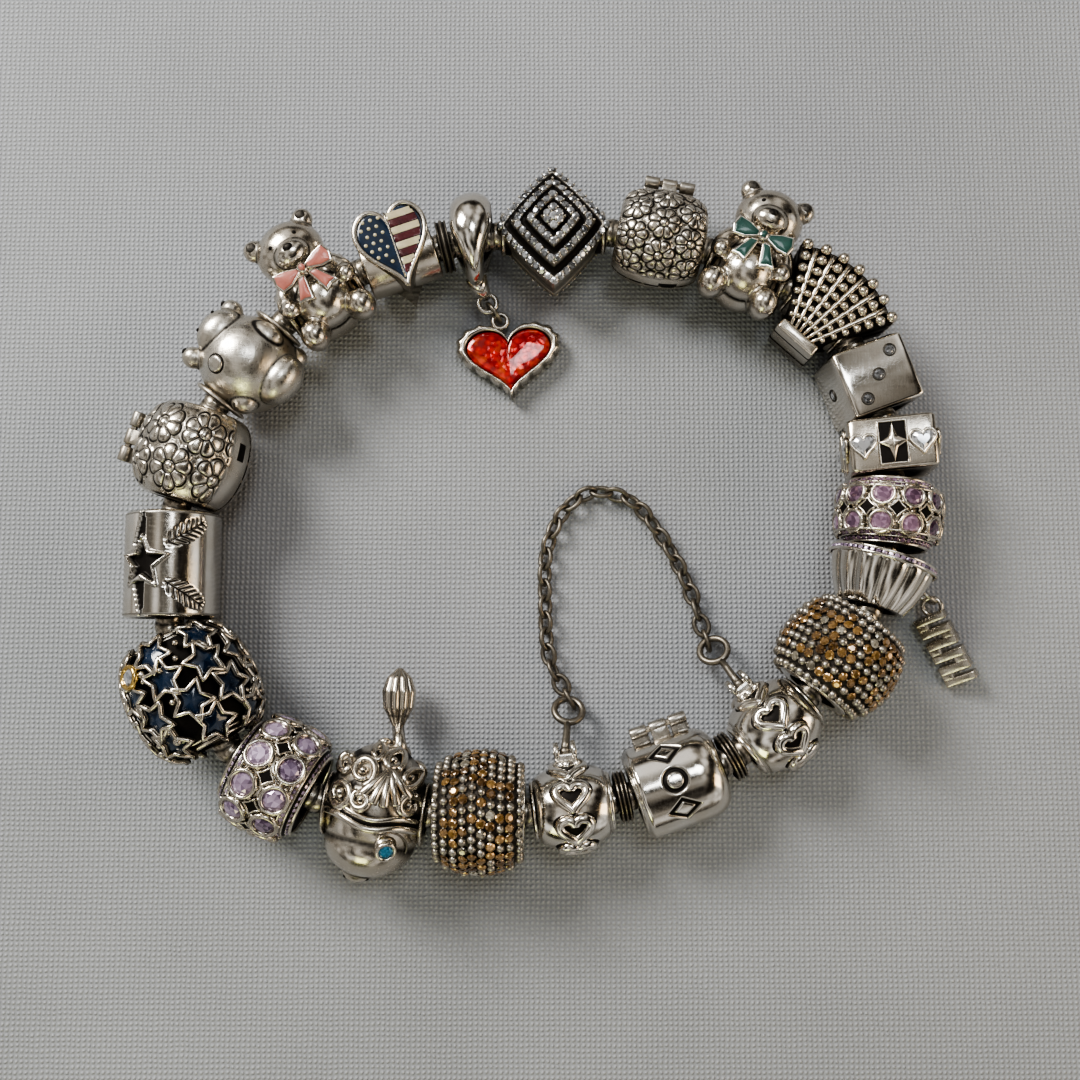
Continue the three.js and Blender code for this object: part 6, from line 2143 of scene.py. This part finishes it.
# Studio
def make_floor(studio):
    """A woven cloth: two sets of fine waves that cross are multiplied, over a soft unevenness."""
    reach, below = 0.6, -0.00001
    waves = {"Scale": 620.0, "Distortion": 1.8, "Detail": 2.0}
    dark, light = 0.72, 1.25
    mesh = bpy.data.meshes.new("floor")
    corners = [(-reach, -reach), (reach, -reach), (reach, reach), (-reach, reach)]
    mesh.from_pydata([(x, y, below) for x, y in corners], [], [(0, 1, 2, 3)])
    finish = Finish("floor")
    threads = [
        finish.node("ShaderNodeTexWave", {"bands_direction": way}, {"Vector": finish.place, **waves}, "Fac")
        for way in ("X", "Y")
    ]
    weave = threads[0] * threads[1]
    # Broad lighter and darker patches across the cloth.
    broad_patches = finish.noise(0.03, 2.0)
    tone = ((weave - 0.25) * 0.85 + (broad_patches - 0.5) * 0.7 + 0.5).clamped()
    ends = [colour(*(share * c for c in studio.floor_colour)) for share in (dark, light)]
    finish.set(
        Base_Color=finish.mixed(tone, *ends),
        Roughness=0.9,
        Normal=finish.bumped(weave, 0.9, 0.15),
    )
    mesh.materials.append(finish.material)
    floor = bpy.data.objects.new("floor", mesh)
    bpy.context.scene.collection.objects.link(floor)


def make_lights(studio):
    """A large soft window up and to the left with a skylight, a warm wall to the right and a faint
    green one towards the camera's foot."""
    for name, place, size, power, tint in (
        ("window", (-0.24, 0.22, 0.26), 0.16, studio.window * 2.6, (1.0, 0.98, 0.94)),
        ("skylight", (0.05, 0.12, 0.42), 0.12, studio.window * 0.5, (0.9, 0.95, 1.0)),
        ("warm_wall", (0.3, -0.06, 0.16), 0.14, studio.window * 0.35, (1.0, 0.78, 0.52)),
        ("green_wall", (-0.08, -0.3, 0.14), 0.12, studio.window * 0.24, (0.92, 0.95, 0.5)),
    ):
        data = bpy.data.lights.new(name, "AREA")
        data.energy, data.size, data.color = power, size, tint
        light = bpy.data.objects.new(name, data)
        light.location = place
        light.rotation_euler = (Vector((0, 0, 0)) - Vector(place)).to_track_quat("-Z", "Y").to_euler()
        bpy.context.scene.collection.objects.link(light)


def make_world():
    """A soft room for the silver to mirror: pale and dark patches of a noise."""
    world = bpy.data.worlds.new("room")
    world.use_nodes = True
    tree = world.node_tree
    place = tree.nodes.new("ShaderNodeTexCoord").outputs["Generated"]
    patches = tree.nodes.new("ShaderNodeTexNoise")
    for key, value in (("Scale", 2.1), ("Detail", 2.0), ("Roughness", 0.4)):
        patches.inputs[key].default_value = value
    tree.links.new(place, patches.inputs["Vector"])
    ramp = tree.nodes.new("ShaderNodeValToRGB")
    stops = ramp.color_ramp.elements
    stops[0].position, stops[0].color = 0.4, (0.03, 0.026, 0.022, 1)
    stops[1].position, stops[1].color = 0.66, (1.15, 1.13, 1.1, 1)
    stops.new(0.51).color = (0.3, 0.28, 0.25, 1)
    tree.links.new(patches.outputs["Fac"], ramp.inputs["Fac"])
    back = tree.nodes["Background"]
    back.inputs["Strength"].default_value = 0.62
    tree.links.new(ramp.outputs["Color"], back.inputs["Color"])
    bpy.context.scene.world = world


def make_camera(studio):
    """The photograph's camera: nearly overhead, looking a little along +Y."""
    data = bpy.data.cameras.new("camera")
    data.lens, data.sensor_width = 35.0, 36.0
    data.clip_start, data.clip_end = 0.005, 5.0
    camera = bpy.data.objects.new("camera", data)
    high = studio.camera_height
    target = Vector((SHIFT.x * MM, SHIFT.y * MM, 0.0055))
    back = Vector((0, -math.cos(high), math.sin(high)))
    camera.location = target + back * studio.camera_distance
    camera.rotation_euler = (-back).to_track_quat("-Z", "Y").to_euler()
    bpy.context.scene.collection.objects.link(camera)
    bpy.context.scene.camera = camera
    view = bpy.context.scene.view_settings
    view.view_transform = "AgX"
    view.look = "AgX - High Contrast"
    view.exposure = 0.28


class BRACELET_PT_panel(bpy.types.Panel):
    """The bracelet's settings and builders"""

    bl_idname = "BRACELET_PT_panel"
    bl_label = "Bracelet"
    bl_space_type = "VIEW_3D"
    bl_region_type = "UI"
    bl_category = "Bracelet"

    def draw(self, context):
        for group in (context.scene.bracelet_sizes, context.scene.bracelet_studio):
            box = self.layout.box()
            for key in group.__annotations__:
                box.prop(group, key)
        for operator in OPERATORS:
            self.layout.operator(operator.bl_idname)


OPERATORS = (
    BRACELET_OT_clasp, BRACELET_OT_heart_clips, BRACELET_OT_amber_beads, BRACELET_OT_fish,
    BRACELET_OT_lilac_beads, BRACELET_OT_star_beads, BRACELET_OT_daisy_clips, BRACELET_OT_hippo,
    BRACELET_OT_bears, BRACELET_OT_plaque, BRACELET_OT_bails, BRACELET_OT_diamond, BRACELET_OT_fan,
    BRACELET_OT_square_charms, BRACELET_OT_collars, BRACELET_OT_chains, BRACELET_OT_studio,
)
CLASSES = (BraceletSizes, BraceletStudio, *OPERATORS, BRACELET_PT_panel)


def register():
    for cls in CLASSES:
        bpy.utils.register_class(cls)
    bpy.types.Scene.bracelet_sizes = PointerProperty(type=BraceletSizes)
    bpy.types.Scene.bracelet_studio = PointerProperty(type=BraceletStudio)


def unregister():
    del bpy.types.Scene.bracelet_studio
    del bpy.types.Scene.bracelet_sizes
    for cls in reversed(CLASSES):
        bpy.utils.unregister_class(cls)


def main():
    """Registers the classes and the two groups of settings, and calls the operators in order."""
    register()
    for operator in OPERATORS:
        group, name = operator.bl_idname.split(".")
        getattr(getattr(bpy.ops, group), name)()


if __name__ == "__main__":
    main()
